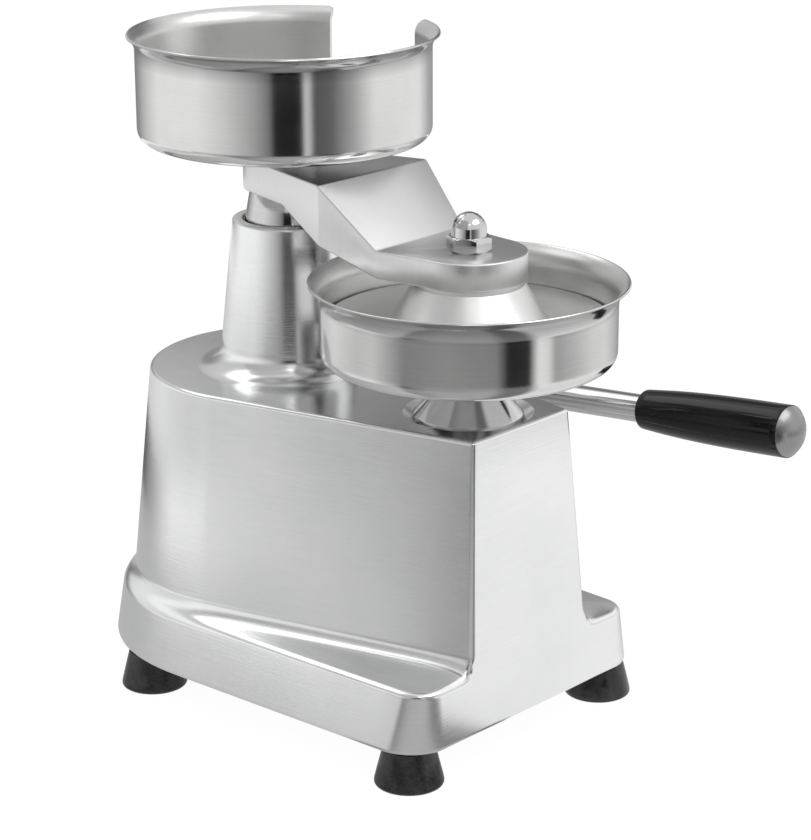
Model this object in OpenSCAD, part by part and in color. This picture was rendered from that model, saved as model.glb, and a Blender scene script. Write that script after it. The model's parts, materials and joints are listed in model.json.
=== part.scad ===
/* [Base casting] */
// Length of the base from front to back
base_l = 225; // [215:1:240]
// Radius of the rounded rear of the base, which is half its width
base_r = 79.4; // [76:0.2:84]
// Height of the base's underside above the table
foot_h = 16.3; // [14:0.1:20]
// Height of the base flange, from its underside to its outer edge
flange_h = 26.2; // [22:0.2:30]
// Rise of the sloping ledge from the flange's edge to the upright housing
ledge_rise = 3.5; // [2:0.1:6]
// Reach of the base in front of the press axis
front_reach = 37.2; // [34:0.2:40]
// Radius of the flange's two front corners, at its underside
corner_r = 17.5; // [12:0.5:22]
// Radius of the same corners at the flange's edge, where the ledge starts
corner_top_r = 12; // [8:0.5:16]
// Width of the flange across its front, at its underside
front_w = 150; // [140:1:156]
// Width of the flange across its front at its edge
flange_top_w = 137.6; // [132:0.2:148]
// Radius of the flange's round rear at its edge
flange_top_r = 75.2; // [73:0.1:78]
// Height of the housing's flat top above the table
body_top_z = 141.7; // [136:0.1:148]
// Radius of the housing's rounded rear at its top
top_r = 60.3; // [56:0.1:64]
// Radius of the housing's rounded rear where it meets the ledge
waist_r = 70.2; // [66:0.1:73]
// Width of the housing's front face at its top
top_front_w = 60.6; // [54:0.2:68]
// Width of the housing's front face at the ledge
waist_front_w = 74.2; // [70:0.2:80]
// Reach of the housing's top in front of the press axis
top_reach = 29.7; // [27:0.1:32]
// Wall of the casting
wall_t = 5; // [4:0.5:7]

/* [Pillar and column] */
// Distance of the column axis behind the press axis
column_y = 106.1; // [102:0.1:110]
// Height of the pillar's rim above the table
pillar_top_z = 208.2; // [200:0.1:212]
// Radius of the pillar at its rim
pillar_top_r = 23.9; // [22.5:0.1:26]
// Radius of the pillar just above its root fillet
pillar_root_r = 29.8; // [28:0.1:33]
// Radius of the fillet between the pillar and the housing's top
pillar_fillet_r = 11; // [6:0.5:14]
// Bore of the pillar, which holds the column's bushes
pillar_bore_r = 19.4; // [19.2:0.1:20.4]
// Radius of the sliding column
column_r = 15; // [13:0.5:16]
// Radius of the column's cone at its foot
cone_foot_r = 18.7; // [18:0.1:19]
// Radius of the column's cone under the arm
cone_top_r = 15.8; // [15:0.1:17]
// Depth of the cone's foot below the pillar's rim
cone_sink = 2.2; // [1:0.1:3]
// Radius of the column's spigot, which the arm sits on
spigot_r = 12; // [9:0.5:13]
// Radius of the column's lower journal, which the yoke hangs on
journal_r = 10; // [8:0.5:11]
// Length of each of the column's two bushes
column_bush_l = 32; // [20:1:34]

/* [Forming bowl] */
// Radius of the forming bowl's rolled rim
bowl_rim_r = 67.3; // [66:0.1:70]
// Outer radius of the forming bowl's wall
bowl_wall_r = 62.2; // [61.5:0.1:64]
// Height of the forming bowl
bowl_h = 34.9; // [30:0.1:40]
// Height of the forming bowl's flare under its rim
bowl_flare_h = 9; // [6:0.5:12]
// Radius of the forming bowl's lower corner
bowl_corner_r = 5.5; // [3:0.5:8]
// Sheet thickness of both bowls
bowl_t = 1.2; // [1:0.1:1.5]
// Height of the forming bowl's floor above the housing's top
bowl_lift = 22.5; // [18:0.5:26]
// Radius of the bowl support's foot
support_r = 23.3; // [21:0.1:25]
// Radius of the bowl support's neck
support_neck_r = 14; // [11:0.5:16]
// Radius of the dished seat around the bowl support
seat_r = 27.5; // [26:0.1:28.5]
// Depth of that dished seat
seat_depth = 2.4; // [1:0.1:3]

/* [Press plate and tray] */
// Radius of the press plate
plate_r = 60.1; // [59:0.1:60.3]
// Thickness of the press plate at its edge
plate_t = 2.9; // [2:0.1:4]
// Depth of the plate's top edge below the bowl's rim
plate_depth = 16.7; // [12:0.1:18]
// Radius of the press plate's hub where it meets the plate
hub_foot_r = 33; // [28:0.5:40]
// Radius of the press plate's hub under the arm
hub_top_r = 23.4; // [18:0.1:24]
// Radius of the lifting tray
tray_r = 56; // [50:0.5:56.2]
// Thickness of the lifting tray
tray_t = 1.5; // [1:0.1:2.5]
// Height that the tray rises to push a pressed patty out
tray_lift = 28; // [20:0.5:29]
// Radius of the ejector rod
rod_r = 5; // [4:0.5:6]

/* [Swing arm] */
// Gap between the arm's nose and the forming bowl's rim
arm_gap = 0.6; // [0.4:0.1:2]
// Thickness of the arm's nose
nose_t = 11.8; // [9:0.1:14]
// Radius of the arm's nose
nose_r = 24.5; // [24:0.1:27]
// Distance of the arm's lower fold from the press axis
lower_fold_y = 27; // [24:0.5:32]
// Width of the arm at its lower fold
lower_fold_w = 54.8; // [52:0.2:60]
// Distance of the arm's upper fold from the press axis
upper_fold_y = 54; // [50:0.5:60]
// Width of the arm at its upper fold
upper_fold_w = 67.4; // [62:0.2:74]
// Radius of the arm's rear end around the column
heel_r = 18.7; // [17:0.1:22]
// Thickness of the arm's rear end
heel_t = 14.5; // [11:0.1:17]
// Distance from the press axis to the end of the arm's sloping underside
slope_end_y = 83; // [78:0.5:84]
// Height that the arm rises when the handle goes up
arm_lift = 24; // [20:0.5:24.5]

/* [Paper bowl] */
// Height of the whole press, to the paper bowl's rim
overall_h = 290; // [286:0.5:296]
// Radius of the paper bowl's rolled rim
paper_rim_r = 67.6; // [66:0.1:70]
// Outer radius of the paper bowl's wall
paper_wall_r = 64; // [62:0.1:65]
// Height of the paper bowl
paper_h = 46.7; // [42:0.1:50]
// Height of the paper bowl's flare under its rim
paper_flare_h = 6; // [4:0.5:9]
// Radius of the paper bowl's lower corner
paper_corner_r = 6; // [3:0.5:8]
// Width of the slot that lets fingers reach the papers
slot_w = 50; // [40:1:56]
// Height of the slot's lower end above the bowl's floor
slot_floor = 10; // [6:0.5:16]
// Turn of the slot from the right-hand side towards the rear, in degrees
slot_turn = 2.3; // [0:0.1:5]
// Thickness of the spacer between the arm and the paper bowl
spacer_t = 7.3; // [5:0.1:9]

/* [Handle] */
// Distance of the handle's plane to the right of the press axis
handle_x = 118.9; // [114:0.1:122]
// Height of the cross shaft above the table
shaft_z = 102; // [100:0.1:104]
// Radius of the cross shaft
shaft_r = 9; // [7:0.5:9.5]
// Length of the handle from the cross shaft to the tip of its cap
handle_l = 227; // [220:0.2:236]
// Rise of the lowered handle above the horizontal, in degrees
handle_tilt = 4.93; // [3:0.1:7]
// Swing of the handle, in degrees
handle_swing = 40; // [38:0.5:41]
// Radius of the handle's rod
handle_rod_r = 6.4; // [5:0.1:7]
// Length of the black grip
grip_l = 79; // [70:1:90]
// Radius of the grip at its inner end
grip_root_r = 9.1; // [8.2:0.1:10]
// Radius of the grip at its fat end
grip_end_r = 11.7; // [11:0.1:12.5]
// Length of the metal cap beyond the grip
cap_l = 5.5; // [3:0.1:7]

/* [Feet and fasteners] */
// Radius of a foot on the table
foot_r = 14.8; // [13:0.1:16]
// Radius of a foot under the base
foot_top_r = 11; // [10:0.1:12]
// Height of a foot's rounded lower edge
foot_edge = 1.5; // [1:0.1:2.5]
// Distance of the front feet from the middle
front_foot_x = 62.2; // [58:0.2:63]
// Distance of the front feet ahead of the press axis
front_foot_y = 22.6; // [20:0.2:24]
// Distance of the rear feet from the middle
rear_foot_x = 64.4; // [58:0.2:64.6]
// Distance of the rear feet behind the press axis
rear_foot_y = 131; // [120:0.2:132]
// Width across the flats of the acorn nut
nut_af = 16.6; // [14:0.1:18]
// Height of the acorn nut
nut_h = 16; // [13:0.1:18]
// Radius of the stud that holds the press plate
stud_r = 5; // [4:0.5:6]

/* [Hidden] */

// Clearances: a running shaft in its bore, pieces that only pass each other, and a cut's overrun
run_gap = 0.05;
pass_gap = 0.3;
over = 1;
slab = 0.1;
// How far a stud, a stem or a pin stands past the piece that it holds
tail = 1;
round_fn = 96;
hull_fn = 48;
small_fn = 32;
arc_steps = 6;

// Main heights and places, from the table up and from the press axis back
rear_y = base_l - base_r - front_reach;
flange_top_z = foot_h + flange_h;
waist_z = flange_top_z + ledge_rise;
ledge_tuck = 1;
pillar_edge_r = 1;
front_draft = (front_reach - top_reach) / (body_top_z - foot_h);
ceiling_z = body_top_z - wall_t;
seat_z = body_top_z - seat_depth;
bowl_z = body_top_z + bowl_lift;
rim_z = bowl_z + bowl_h;
plate_top_z = rim_z - plate_depth;
plate_z = plate_top_z - plate_t;
tray_z = bowl_z + bowl_t + pass_gap;
nose_z = rim_z + arm_gap;
nose_top_z = nose_z + nose_t;
paper_z = overall_h - paper_h;
arm_top_z = paper_z - spacer_t;
heel_z = arm_top_z - heel_t;
cone_z = pillar_top_z - cone_sink;
bush_sink = 1;

// The lift linkage: the fork's slot stands level half way up, so the yoke pin moves straight
half_swing = handle_swing / 2;
crank_y = arm_lift / 2 / tan(half_swing);
shaft_y = column_y + crank_y;
yoke_z = shaft_z - arm_lift / 2;
yoke_half_h = 8;
yoke_half_w = 17;
yoke_half_l = 14.5;
yoke_pin_r = 4;
slot_gap = 0.4;
fork_t = 6;
fork_hub_r = 15;
fork_tube_r = 13;
fork_tip_r = 9;
fork_near = crank_y;
fork_far = crank_y / cos(half_swing);
fork_x = yoke_half_w + pass_gap;
fork_side_x = fork_x + fork_t;
shoulder_z = yoke_z + yoke_half_h + pass_gap;
washer_t = 2;
washer_z = yoke_z - yoke_half_h - pass_gap - washer_t;
washer_r = 14;
column_nut_h = 7;
column_nut_r = 13.5;
column_end_z = washer_z - column_nut_h - tail;
thread_r = 4;
thread_l = 16;

// The ejector: its lever stands level with the rod at the top of its swing
roller_r = 5;
roller_l = 12;
lever_pin_r = 2.5;
lever_t = 6;
lever_w = 14;
lever_tip_w = 9;
lever_x = -fork_side_x - pass_gap - lever_t;
lever_r = shaft_y;
lever_top = 5.5;
lever_low = handle_swing - lever_top;
foot_disc_r = 8;
foot_disc_t = 5;
rod_spigot_r = 4;
foot_face_t = 0.1;
rod_foot_z = shaft_z + lever_r * sin(lever_top) + roller_r + pass_gap - tray_lift;
guide_r = 8;
stem_r = 11.5;
fit_gap = 0.05;
stem_nut_r = 17;
stem_nut_t = 6;
support_edge = 1;
support_cone_h = 13;
spigot_top_r = 11;

// Shaft bearings, and the boss that carries each
shaft_bush_r = 12;
bush_flange_r = 15;
bush_flange_t = 1.5;
boss_r = 17;
boss_out_x = 63.2;
boss_in_x = 41;
blind_boss_x = 36;
shaft_end_x = 44;
bush_shelf = 1.5;

// Handle hub and the handle's pieces, as lengths along the rod from the shaft
hub_r = 13.5;
hub_w = 20;
neck_r = 9.5;
neck_l = 24;
socket_l = 14;
set_screw_r = 3;
screw_sink = 0.1;
grip_end_l = handle_l - cap_l;
grip_start_l = grip_end_l - grip_l;
grip_edge_r = 1.5;
grip_end_edge_r = 0.4;
cap_r = grip_end_r - grip_end_edge_r;
cap_sphere_r = (cap_r * cap_r + cap_l * cap_l) / (2 * cap_l);
rod_in_grip = 60;

// Feet and small fasteners
foot_boss_r = 8;
foot_boss_h = 18;
screw_r = 2.5;
screw_head_r = 4.6;
screw_head_h = 3;
foot_recess_h = 8;
foot_recess_r = 5.6;
screw_grip_l = 12;
screw_hole_l = 14;
stud_in_plate = 12;
hub_land = 2;
slot_round_r = 4.5;
spacer_r = 14;
nut_corner_r = nut_af / sqrt(3);
dome_r = 7.4;
hex_h = 6.2;
hex_chamfer = 1;
bowl_screw_head_r = 8;
bowl_screw_head_h = 3;

// The frame's origin: under the middle of the whole press, on the table
grip_tip_y = shaft_y - (handle_l - cap_sphere_r) * cos(handle_tilt) - cap_sphere_r;
frame_x = (handle_x + grip_end_r - base_r) / 2;
frame_y = (rear_y + base_r + grip_tip_y) / 2;

// Reach of the front face before the press axis at a height: one plane from the base to the top
function front_at(z) = top_reach + (body_top_z - z) * front_draft;
function blend(a, b, t) = a + (b - a) * t;
function waist_share(z) = (body_top_z - z) / (body_top_z - waist_z);
function rear_r_at(z) = blend(top_r, waist_r, waist_share(z));
function front_w_at(z) = blend(top_front_w, waist_front_w, waist_share(z)) / 2;
function arc(x, y, r, from, to) = [
    for (i = [0:arc_steps])
        let (a = blend(from, to, i / arc_steps))
        [x + r * cos(a), y + r * sin(a)]
];

// Section of a pressed sheet bowl with a flared rim, open at the hole in its floor
function sheet_bowl(hole_r, floor_z, wall_r, rim_r, top_z, corner_r, flare_h) =
    let (
        run = rim_r - wall_r,
        flare_r = (run * run + flare_h * flare_h) / (2 * run),
        turn = asin(flare_h / flare_r),
        flare_z = top_z - (flare_r + bowl_t) * sin(turn)
    )
    concat(
        [[hole_r, floor_z]],
        arc(wall_r - corner_r, floor_z + corner_r, corner_r, -90, 0),
        arc(wall_r + flare_r, flare_z, flare_r, 180, 180 - turn),
        arc(wall_r + flare_r, flare_z, flare_r + bowl_t, 180 - turn, 180),
        arc(wall_r - corner_r, floor_z + corner_r, corner_r - bowl_t, 0, -90),
        [[hole_r, floor_z + bowl_t]]
    );

module in_frame() translate([-frame_x, -frame_y, 0]) children();
module at_column() translate([0, column_y, 0]) children();
module round_bar(r, h) cylinder(r = r, h = h, $fn = round_fn);
module along_x(x, y, z) translate([x, y, z]) rotate([0, 90, 0]) children();
module at_shaft(x) along_x(x, shaft_y, shaft_z) children();
// The handle's own axis runs forward from the shaft along +Z of these children
module on_handle(tilt = 0)
    translate([handle_x, shaft_y, shaft_z]) rotate([90 - handle_tilt - tilt, 0, 0]) children();

// Tapered block between the housing's front corners at two heights, reaching back to the round rear
module front_block(z0, z1, inset = 0) {
    w0 = front_w_at(z0) - inset;
    w1 = front_w_at(z1) - inset;
    f0 = front_at(z0) - inset;
    f1 = front_at(z1) - inset;
    polyhedron(
        points = [
            [-w0, -f0, z0], [w0, -f0, z0], [w0, rear_y, z0], [-w0, rear_y, z0],
            [-w1, -f1, z1], [w1, -f1, z1], [w1, rear_y, z1], [-w1, rear_y, z1]
        ],
        faces = [[0, 1, 2, 3], [7, 6, 5, 4], [4, 5, 1, 0], [5, 6, 2, 1], [6, 7, 3, 2], [7, 4, 0, 3]]
    );
}

module rear_cone(z0, z1, r0, r1)
    translate([0, rear_y, z0]) cylinder(r1 = r0, r2 = r1, h = z1 - z0, $fn = hull_fn);

module housing(z0, z1, inset = 0)
    hull() {
        rear_cone(z0, z1, rear_r_at(z0) - inset, rear_r_at(z1) - inset);
        front_block(z0, z1, inset);
    }

// Thin disc in a front corner of the flange, which the flange and the ledge are drawn around
module corner_discs(z, half_w, r, inset = 0)
    for (side = [-1, 1])
        translate([side * (half_w - r), r - front_at(z), z])
            cylinder(r = r - inset, h = slab, $fn = hull_fn);

// Flange: its sides lean in towards the front corners, whose radius shrinks from the underside up
module flange(inset = 0)
    hull() {
        rear_cone(foot_h - inset, flange_top_z - inset, base_r - inset, flange_top_r - inset);
        corner_discs(foot_h - inset, front_w / 2, corner_r, inset);
        corner_discs(flange_top_z - inset - slab, flange_top_w / 2, corner_top_r, inset);
    }

// Ledge, whose upper end is tucked a little way inside the housing
module ledge()
    hull() {
        rear_cone(flange_top_z - slab, waist_z, flange_top_r, waist_r - ledge_tuck);
        corner_discs(flange_top_z - slab, flange_top_w / 2, corner_top_r);
        front_block(flange_top_z, waist_z, ledge_tuck);
    }

module pillar() {
    foot = pillar_root_r + pillar_fillet_r;
    at_column() rotate_extrude($fn = round_fn) polygon(concat(
        [[0, ceiling_z], [foot, ceiling_z]],
        arc(foot, body_top_z + pillar_fillet_r, pillar_fillet_r, 270, 180),
        arc(pillar_top_r - pillar_edge_r, pillar_top_z - pillar_edge_r, pillar_edge_r, 0, 90),
        [[0, pillar_top_z]]
    ));
}

module foot_places()
    for (place = [
        [-front_foot_x, -front_foot_y], [front_foot_x, -front_foot_y],
        [-rear_foot_x, rear_foot_y], [rear_foot_x, rear_foot_y]
    ]) translate([place[0], place[1], 0]) children();

// What stays solid inside the hollow casting: shaft bosses, foot bosses and the support's pad
module inner_bosses() {
    at_shaft(boss_in_x) round_bar(boss_r, base_r);
    at_shaft(-base_r) round_bar(boss_r, base_r - blind_boss_x);
    foot_places() translate([0, 0, foot_h - over]) round_bar(foot_boss_r, foot_boss_h + over);
}

module body_bores() {
    at_column() translate([0, 0, ceiling_z - over])
        round_bar(pillar_bore_r + fit_gap, pillar_top_z - ceiling_z + 2 * over);
    at_shaft(boss_in_x - over) round_bar(shaft_bush_r + fit_gap, boss_out_x - boss_in_x + 2 * over);
    at_shaft(-shaft_end_x - bush_shelf)
        round_bar(shaft_bush_r + fit_gap, shaft_end_x + bush_shelf - blind_boss_x + over);
    translate([0, 0, ceiling_z - over]) round_bar(stem_r + fit_gap, wall_t + 2 * over);
    translate([0, 0, seat_z])
        cylinder(r1 = support_r + over, r2 = seat_r + over * (seat_r - support_r - over) / seat_depth,
            h = seat_depth + over, $fn = round_fn);
    foot_places() translate([0, 0, foot_h - over])
        cylinder(r = screw_r, h = screw_hole_l + over, $fn = small_fn);
}

module body_casting()
    color("silver") in_frame() difference() {
        union() {
            flange();
            ledge();
            housing(flange_top_z - over, body_top_z);
            pillar();
            at_shaft(boss_in_x) round_bar(boss_r, boss_out_x - boss_in_x);
        }
        difference() {
            union() {
                flange(wall_t);
                housing(flange_top_z - wall_t - over, ceiling_z, wall_t);
            }
            inner_bosses();
        }
        body_bores();
    }

module column_bush(z)
    color("goldenrod") in_frame() at_column() translate([0, 0, z]) difference() {
        round_bar(pillar_bore_r, column_bush_l);
        translate([0, 0, -over]) round_bar(column_r + run_gap, column_bush_l + 2 * over);
    }

module column_bush_upper() column_bush(cone_z - bush_sink - column_bush_l);
module column_bush_lower() column_bush(ceiling_z);

module shaft_bush_right()
    color("goldenrod") in_frame() difference() {
        union() {
            at_shaft(boss_in_x) round_bar(shaft_bush_r, boss_out_x - boss_in_x);
            at_shaft(boss_out_x) round_bar(bush_flange_r, bush_flange_t);
        }
        at_shaft(boss_in_x - over)
            round_bar(shaft_r + run_gap, boss_out_x - boss_in_x + bush_flange_t + 2 * over);
    }

module shaft_bush_left()
    color("goldenrod") in_frame() difference() {
        at_shaft(-shaft_end_x) round_bar(shaft_bush_r, shaft_end_x - blind_boss_x);
        at_shaft(-shaft_end_x - over) round_bar(shaft_r + run_gap, shaft_end_x - blind_boss_x + 2 * over);
    }

// Chromed cone that carries the forming bowl; its stem goes down through the housing's top
module bowl_support()
    color("gainsboro") in_frame() difference() {
        rotate_extrude($fn = round_fn) polygon([
            [0, ceiling_z - stem_nut_t - tail], [stem_r, ceiling_z - stem_nut_t - tail], [stem_r, seat_z],
            [support_r - support_edge, seat_z], [support_r - support_edge, seat_z + support_edge / 2],
            [support_r, seat_z + support_edge / 2], [support_r, seat_z + support_edge * 2],
            [support_neck_r, seat_z + support_cone_h], [support_neck_r, bowl_z],
            [spigot_top_r, bowl_z], [spigot_top_r, bowl_z + bowl_t], [0, bowl_z + bowl_t]
        ]);
        translate([0, 0, ceiling_z - stem_nut_t - tail - over])
            round_bar(guide_r, bowl_z + bowl_t - ceiling_z + stem_nut_t + tail + 2 * over);
    }

module support_nut()
    color("silver") in_frame() translate([0, 0, ceiling_z - stem_nut_t]) difference() {
        cylinder(r = stem_nut_r, h = stem_nut_t, $fn = 6);
        translate([0, 0, -over]) round_bar(stem_r, stem_nut_t + 2 * over);
    }

module ejector_guide()
    color("goldenrod") in_frame() translate([0, 0, ceiling_z - stem_nut_t - tail]) difference() {
        round_bar(guide_r, bowl_z + bowl_t - ceiling_z + stem_nut_t + tail);
        translate([0, 0, -over])
            round_bar(rod_r + run_gap, bowl_z + bowl_t - ceiling_z + stem_nut_t + tail + 2 * over);
    }

module forming_bowl()
    color("gainsboro") in_frame() rotate_extrude($fn = round_fn) polygon(sheet_bowl(
        spigot_top_r, bowl_z, bowl_wall_r, bowl_rim_r, rim_z, bowl_corner_r, bowl_flare_h
    ));

// Rubber foot: a cone with a rounded lower edge, hollow below for its screw
module foot(x, y)
    color("dimgray") in_frame() translate([x, y, 0]) rotate_extrude($fn = round_fn) polygon(concat(
        [[screw_r, foot_h], [screw_r, foot_recess_h], [foot_recess_r, foot_recess_h], [foot_recess_r, 0]],
        arc(foot_r - foot_edge, foot_edge, foot_edge, -90, 0),
        [[foot_top_r, foot_h]]
    ));

module foot_front_left() foot(-front_foot_x, -front_foot_y);
module foot_front_right() foot(front_foot_x, -front_foot_y);
module foot_rear_left() foot(-rear_foot_x, rear_foot_y);
module foot_rear_right() foot(rear_foot_x, rear_foot_y);

module foot_screws()
    color("darkgray") in_frame() foot_places() {
        translate([0, 0, foot_recess_h - screw_head_h])
            cylinder(r = screw_head_r, h = screw_head_h, $fn = small_fn);
        translate([0, 0, foot_recess_h - screw_head_h / 2]) cylinder(
            r = screw_r, h = foot_h + screw_grip_l - foot_recess_h + screw_head_h / 2, $fn = small_fn
        );
    }

module cross_shaft()
    color("lightgray") in_frame() at_shaft(-shaft_end_x)
        round_bar(shaft_r, shaft_end_x + handle_x + hub_w / 2);

module handle_hub()
    color("silver") in_frame() difference() {
        union() {
            at_shaft(handle_x - hub_w / 2) round_bar(hub_r, hub_w);
            on_handle() round_bar(neck_r, neck_l);
        }
        at_shaft(handle_x - hub_w / 2 - over) round_bar(shaft_r, hub_w + 2 * over);
        on_handle() translate([0, 0, socket_l - pass_gap]) round_bar(handle_rod_r, neck_l);
        on_handle(90) round_bar(set_screw_r, hub_r + over);
    }

module hub_set_screw()
    color("dimgray") in_frame() on_handle(90) translate([0, 0, shaft_r]) difference() {
        cylinder(r = set_screw_r, h = hub_r - shaft_r - screw_sink, $fn = small_fn);
        translate([0, 0, hub_r - shaft_r - set_screw_r])
            cylinder(r = set_screw_r / 2, h = set_screw_r, $fn = 6);
    }

module handle_rod()
    color("gainsboro") in_frame() on_handle() translate([0, 0, socket_l])
        round_bar(handle_rod_r, grip_start_l + rod_in_grip - socket_l);

// Grip: thin at the rod, swelling to its fat end, bored for the rod
module handle_grip()
    color("black") in_frame() on_handle() difference() {
        rotate_extrude($fn = round_fn) polygon(concat(
            [[0, grip_start_l]],
            arc(grip_root_r - grip_edge_r, grip_start_l + grip_edge_r, grip_edge_r, -90, 0),
            [for (i = [1:2 * arc_steps - 1])
                let (t = i / (2 * arc_steps))
                [
                    blend(grip_root_r, grip_end_r, 1 - pow(1 - t, 3)),
                    blend(grip_start_l + grip_edge_r, grip_end_l - grip_end_edge_r, t)
                ]],
            arc(grip_end_r - grip_end_edge_r, grip_end_l - grip_end_edge_r, grip_end_edge_r, 0, 90),
            [[0, grip_end_l]]
        ));
        translate([0, 0, grip_start_l - over]) round_bar(handle_rod_r, rod_in_grip + over);
    }

module grip_end_cap()
    color("silver") in_frame() on_handle() intersection() {
        translate([0, 0, handle_l - cap_sphere_r]) sphere(r = cap_sphere_r, $fn = round_fn);
        translate([0, 0, grip_end_l]) round_bar(cap_r, cap_l);
    }

// Fork on the shaft: two cheeks whose slots carry the yoke's pin up and down
module fork_cheek()
    linear_extrude(height = fork_t) difference() {
        union() {
            circle(r = fork_hub_r, $fn = round_fn);
            translate([fork_far, 0]) circle(r = fork_tip_r, $fn = round_fn);
            polygon([[0, fork_hub_r], [fork_far, fork_tip_r], [fork_far, -fork_tip_r], [0, -fork_hub_r]]);
        }
        translate([fork_near, 0]) circle(r = yoke_pin_r + slot_gap, $fn = round_fn);
        translate([fork_far, 0]) circle(r = yoke_pin_r + slot_gap, $fn = round_fn);
        translate([fork_near, -yoke_pin_r - slot_gap])
            square([fork_far - fork_near, 2 * (yoke_pin_r + slot_gap)]);
    }

// Stands a flat lever, drawn along +X, on the shaft: pointing forward and down, its left face at x
module lever_plane(x, thick, down)
    translate([x + thick, shaft_y, shaft_z]) rotate([down, 0, 0]) rotate([90, 0, -90]) children();

module lift_fork()
    color("slategray") in_frame() difference() {
        union() {
            for (x = [fork_x, -fork_side_x]) lever_plane(x, fork_t, half_swing) fork_cheek();
            at_shaft(-fork_x - fork_t / 2) round_bar(fork_tube_r, 2 * fork_x + fork_t);
        }
        at_shaft(-fork_side_x - over) round_bar(shaft_r, 2 * (fork_side_x + over));
        translate([0, shaft_y, shaft_z]) cylinder(r = lever_pin_r, h = fork_tube_r + over, $fn = small_fn);
    }

module fork_pin()
    color("dimgray") in_frame() translate([0, shaft_y, shaft_z + shaft_r])
        cylinder(r = lever_pin_r, h = fork_tube_r - shaft_r, $fn = small_fn);

module ejector_lever()
    color("slategray") in_frame() difference() {
        lever_plane(lever_x, lever_t, lever_low) {
            round_bar(fork_hub_r, lever_t);
            translate([lever_r, 0, 0]) round_bar(lever_tip_w / 2, lever_t);
            linear_extrude(height = lever_t) polygon([
                [0, lever_w / 2], [lever_r, lever_tip_w / 2], [lever_r, -lever_tip_w / 2], [0, -lever_w / 2]
            ]);
        }
        at_shaft(lever_x - over) round_bar(shaft_r, lever_t + 2 * over);
        at_lever_tip(lever_x - over) round_bar(lever_pin_r, lever_t + 2 * over);
    }

module at_lever_tip(x)
    along_x(x, shaft_y - lever_r * cos(lever_low), shaft_z - lever_r * sin(lever_low)) children();

module lever_pin()
    color("lightgray") in_frame() at_lever_tip(lever_x) round_bar(lever_pin_r, roller_l / 2 - lever_x + tail);

module lever_roller()
    color("white") in_frame() difference() {
        at_lever_tip(-roller_l / 2) round_bar(roller_r, roller_l);
        at_lever_tip(-roller_l / 2 - over) round_bar(lever_pin_r, roller_l + 2 * over);
    }

module column_yoke()
    color("slategray") in_frame() difference() {
        translate([-yoke_half_w, column_y - yoke_half_l, yoke_z - yoke_half_h])
            cube([2 * yoke_half_w, 2 * yoke_half_l, 2 * yoke_half_h]);
        at_column() translate([0, 0, yoke_z - yoke_half_h - over])
            round_bar(journal_r + run_gap, 2 * (yoke_half_h + over));
        along_x(-yoke_half_w - over, column_y, yoke_z) round_bar(yoke_pin_r, 2 * (yoke_half_w + over));
    }

// Two stub pins pressed into the yoke, one in each of the fork's slots
module yoke_pin()
    color("lightgray") in_frame() for (side = [-1, 1])
        along_x(side > 0 ? journal_r + tail : -fork_side_x, column_y, yoke_z)
            round_bar(yoke_pin_r, fork_side_x - journal_r - tail);

// Arm: its side view and its plan, each drawn flat and pushed through the other
module arm_side()
    translate([-upper_fold_w / 2 - over, 0, 0]) rotate([90, 0, 90])
        linear_extrude(height = upper_fold_w + 2 * over) polygon([
            [-nose_r - over, nose_z], [lower_fold_y, nose_z], [slope_end_y, heel_z],
            [column_y + heel_r + over, heel_z], [column_y + heel_r + over, arm_top_z],
            [upper_fold_y, arm_top_z], [lower_fold_y, nose_top_z], [-nose_r - over, nose_top_z]
        ]);

module arm_plan() {
    reach = column_y - upper_fold_y;
    spread = upper_fold_w / 2;
    // Where the arm's side leaves its rear round, as an angle from straight sideways
    heel_edge = acos(heel_r / norm([reach, spread])) - atan(reach / spread);
    translate([0, 0, nose_z - over]) {
        round_bar(nose_r, arm_top_z - nose_z + 2 * over);
        at_column() round_bar(heel_r, arm_top_z - nose_z + 2 * over);
        linear_extrude(height = arm_top_z - nose_z + 2 * over) polygon([
            [nose_r, 0], [lower_fold_w / 2, lower_fold_y], [spread, upper_fold_y],
            [heel_r * cos(heel_edge), column_y + heel_r * sin(heel_edge)],
            [-heel_r * cos(heel_edge), column_y + heel_r * sin(heel_edge)],
            [-spread, upper_fold_y], [-lower_fold_w / 2, lower_fold_y], [-nose_r, 0]
        ]);
    }
}

module swing_arm()
    color("silver") in_frame() difference() {
        intersection() {
            arm_side();
            arm_plan();
        }
        translate([0, 0, nose_z - over]) round_bar(stud_r, nose_t + 2 * over);
        at_column() translate([0, 0, heel_z - over]) round_bar(spigot_r, heel_t + 2 * over);
    }

// Sliding column, turned in one piece from its spigot down to its threaded end
module column()
    color("gainsboro") in_frame() at_column() difference() {
        rotate_extrude($fn = round_fn) polygon([
            [0, column_end_z], [journal_r, column_end_z], [journal_r, shoulder_z], [column_r, shoulder_z],
            [column_r, cone_z], [cone_foot_r, cone_z], [cone_top_r, heel_z], [spigot_r, heel_z],
            [spigot_r, arm_top_z], [0, arm_top_z]
        ]);
        translate([0, 0, arm_top_z - thread_l]) round_bar(thread_r, thread_l + over);
    }

module column_washer()
    color("silver") in_frame() at_column() translate([0, 0, washer_z]) difference() {
        round_bar(washer_r, washer_t);
        translate([0, 0, -over]) round_bar(journal_r, washer_t + 2 * over);
    }

module column_nut()
    color("silver") in_frame() at_column() translate([0, 0, washer_z - column_nut_h]) difference() {
        cylinder(r = column_nut_r, h = column_nut_h, $fn = 6);
        translate([0, 0, -over]) round_bar(journal_r, column_nut_h + 2 * over);
    }

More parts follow.
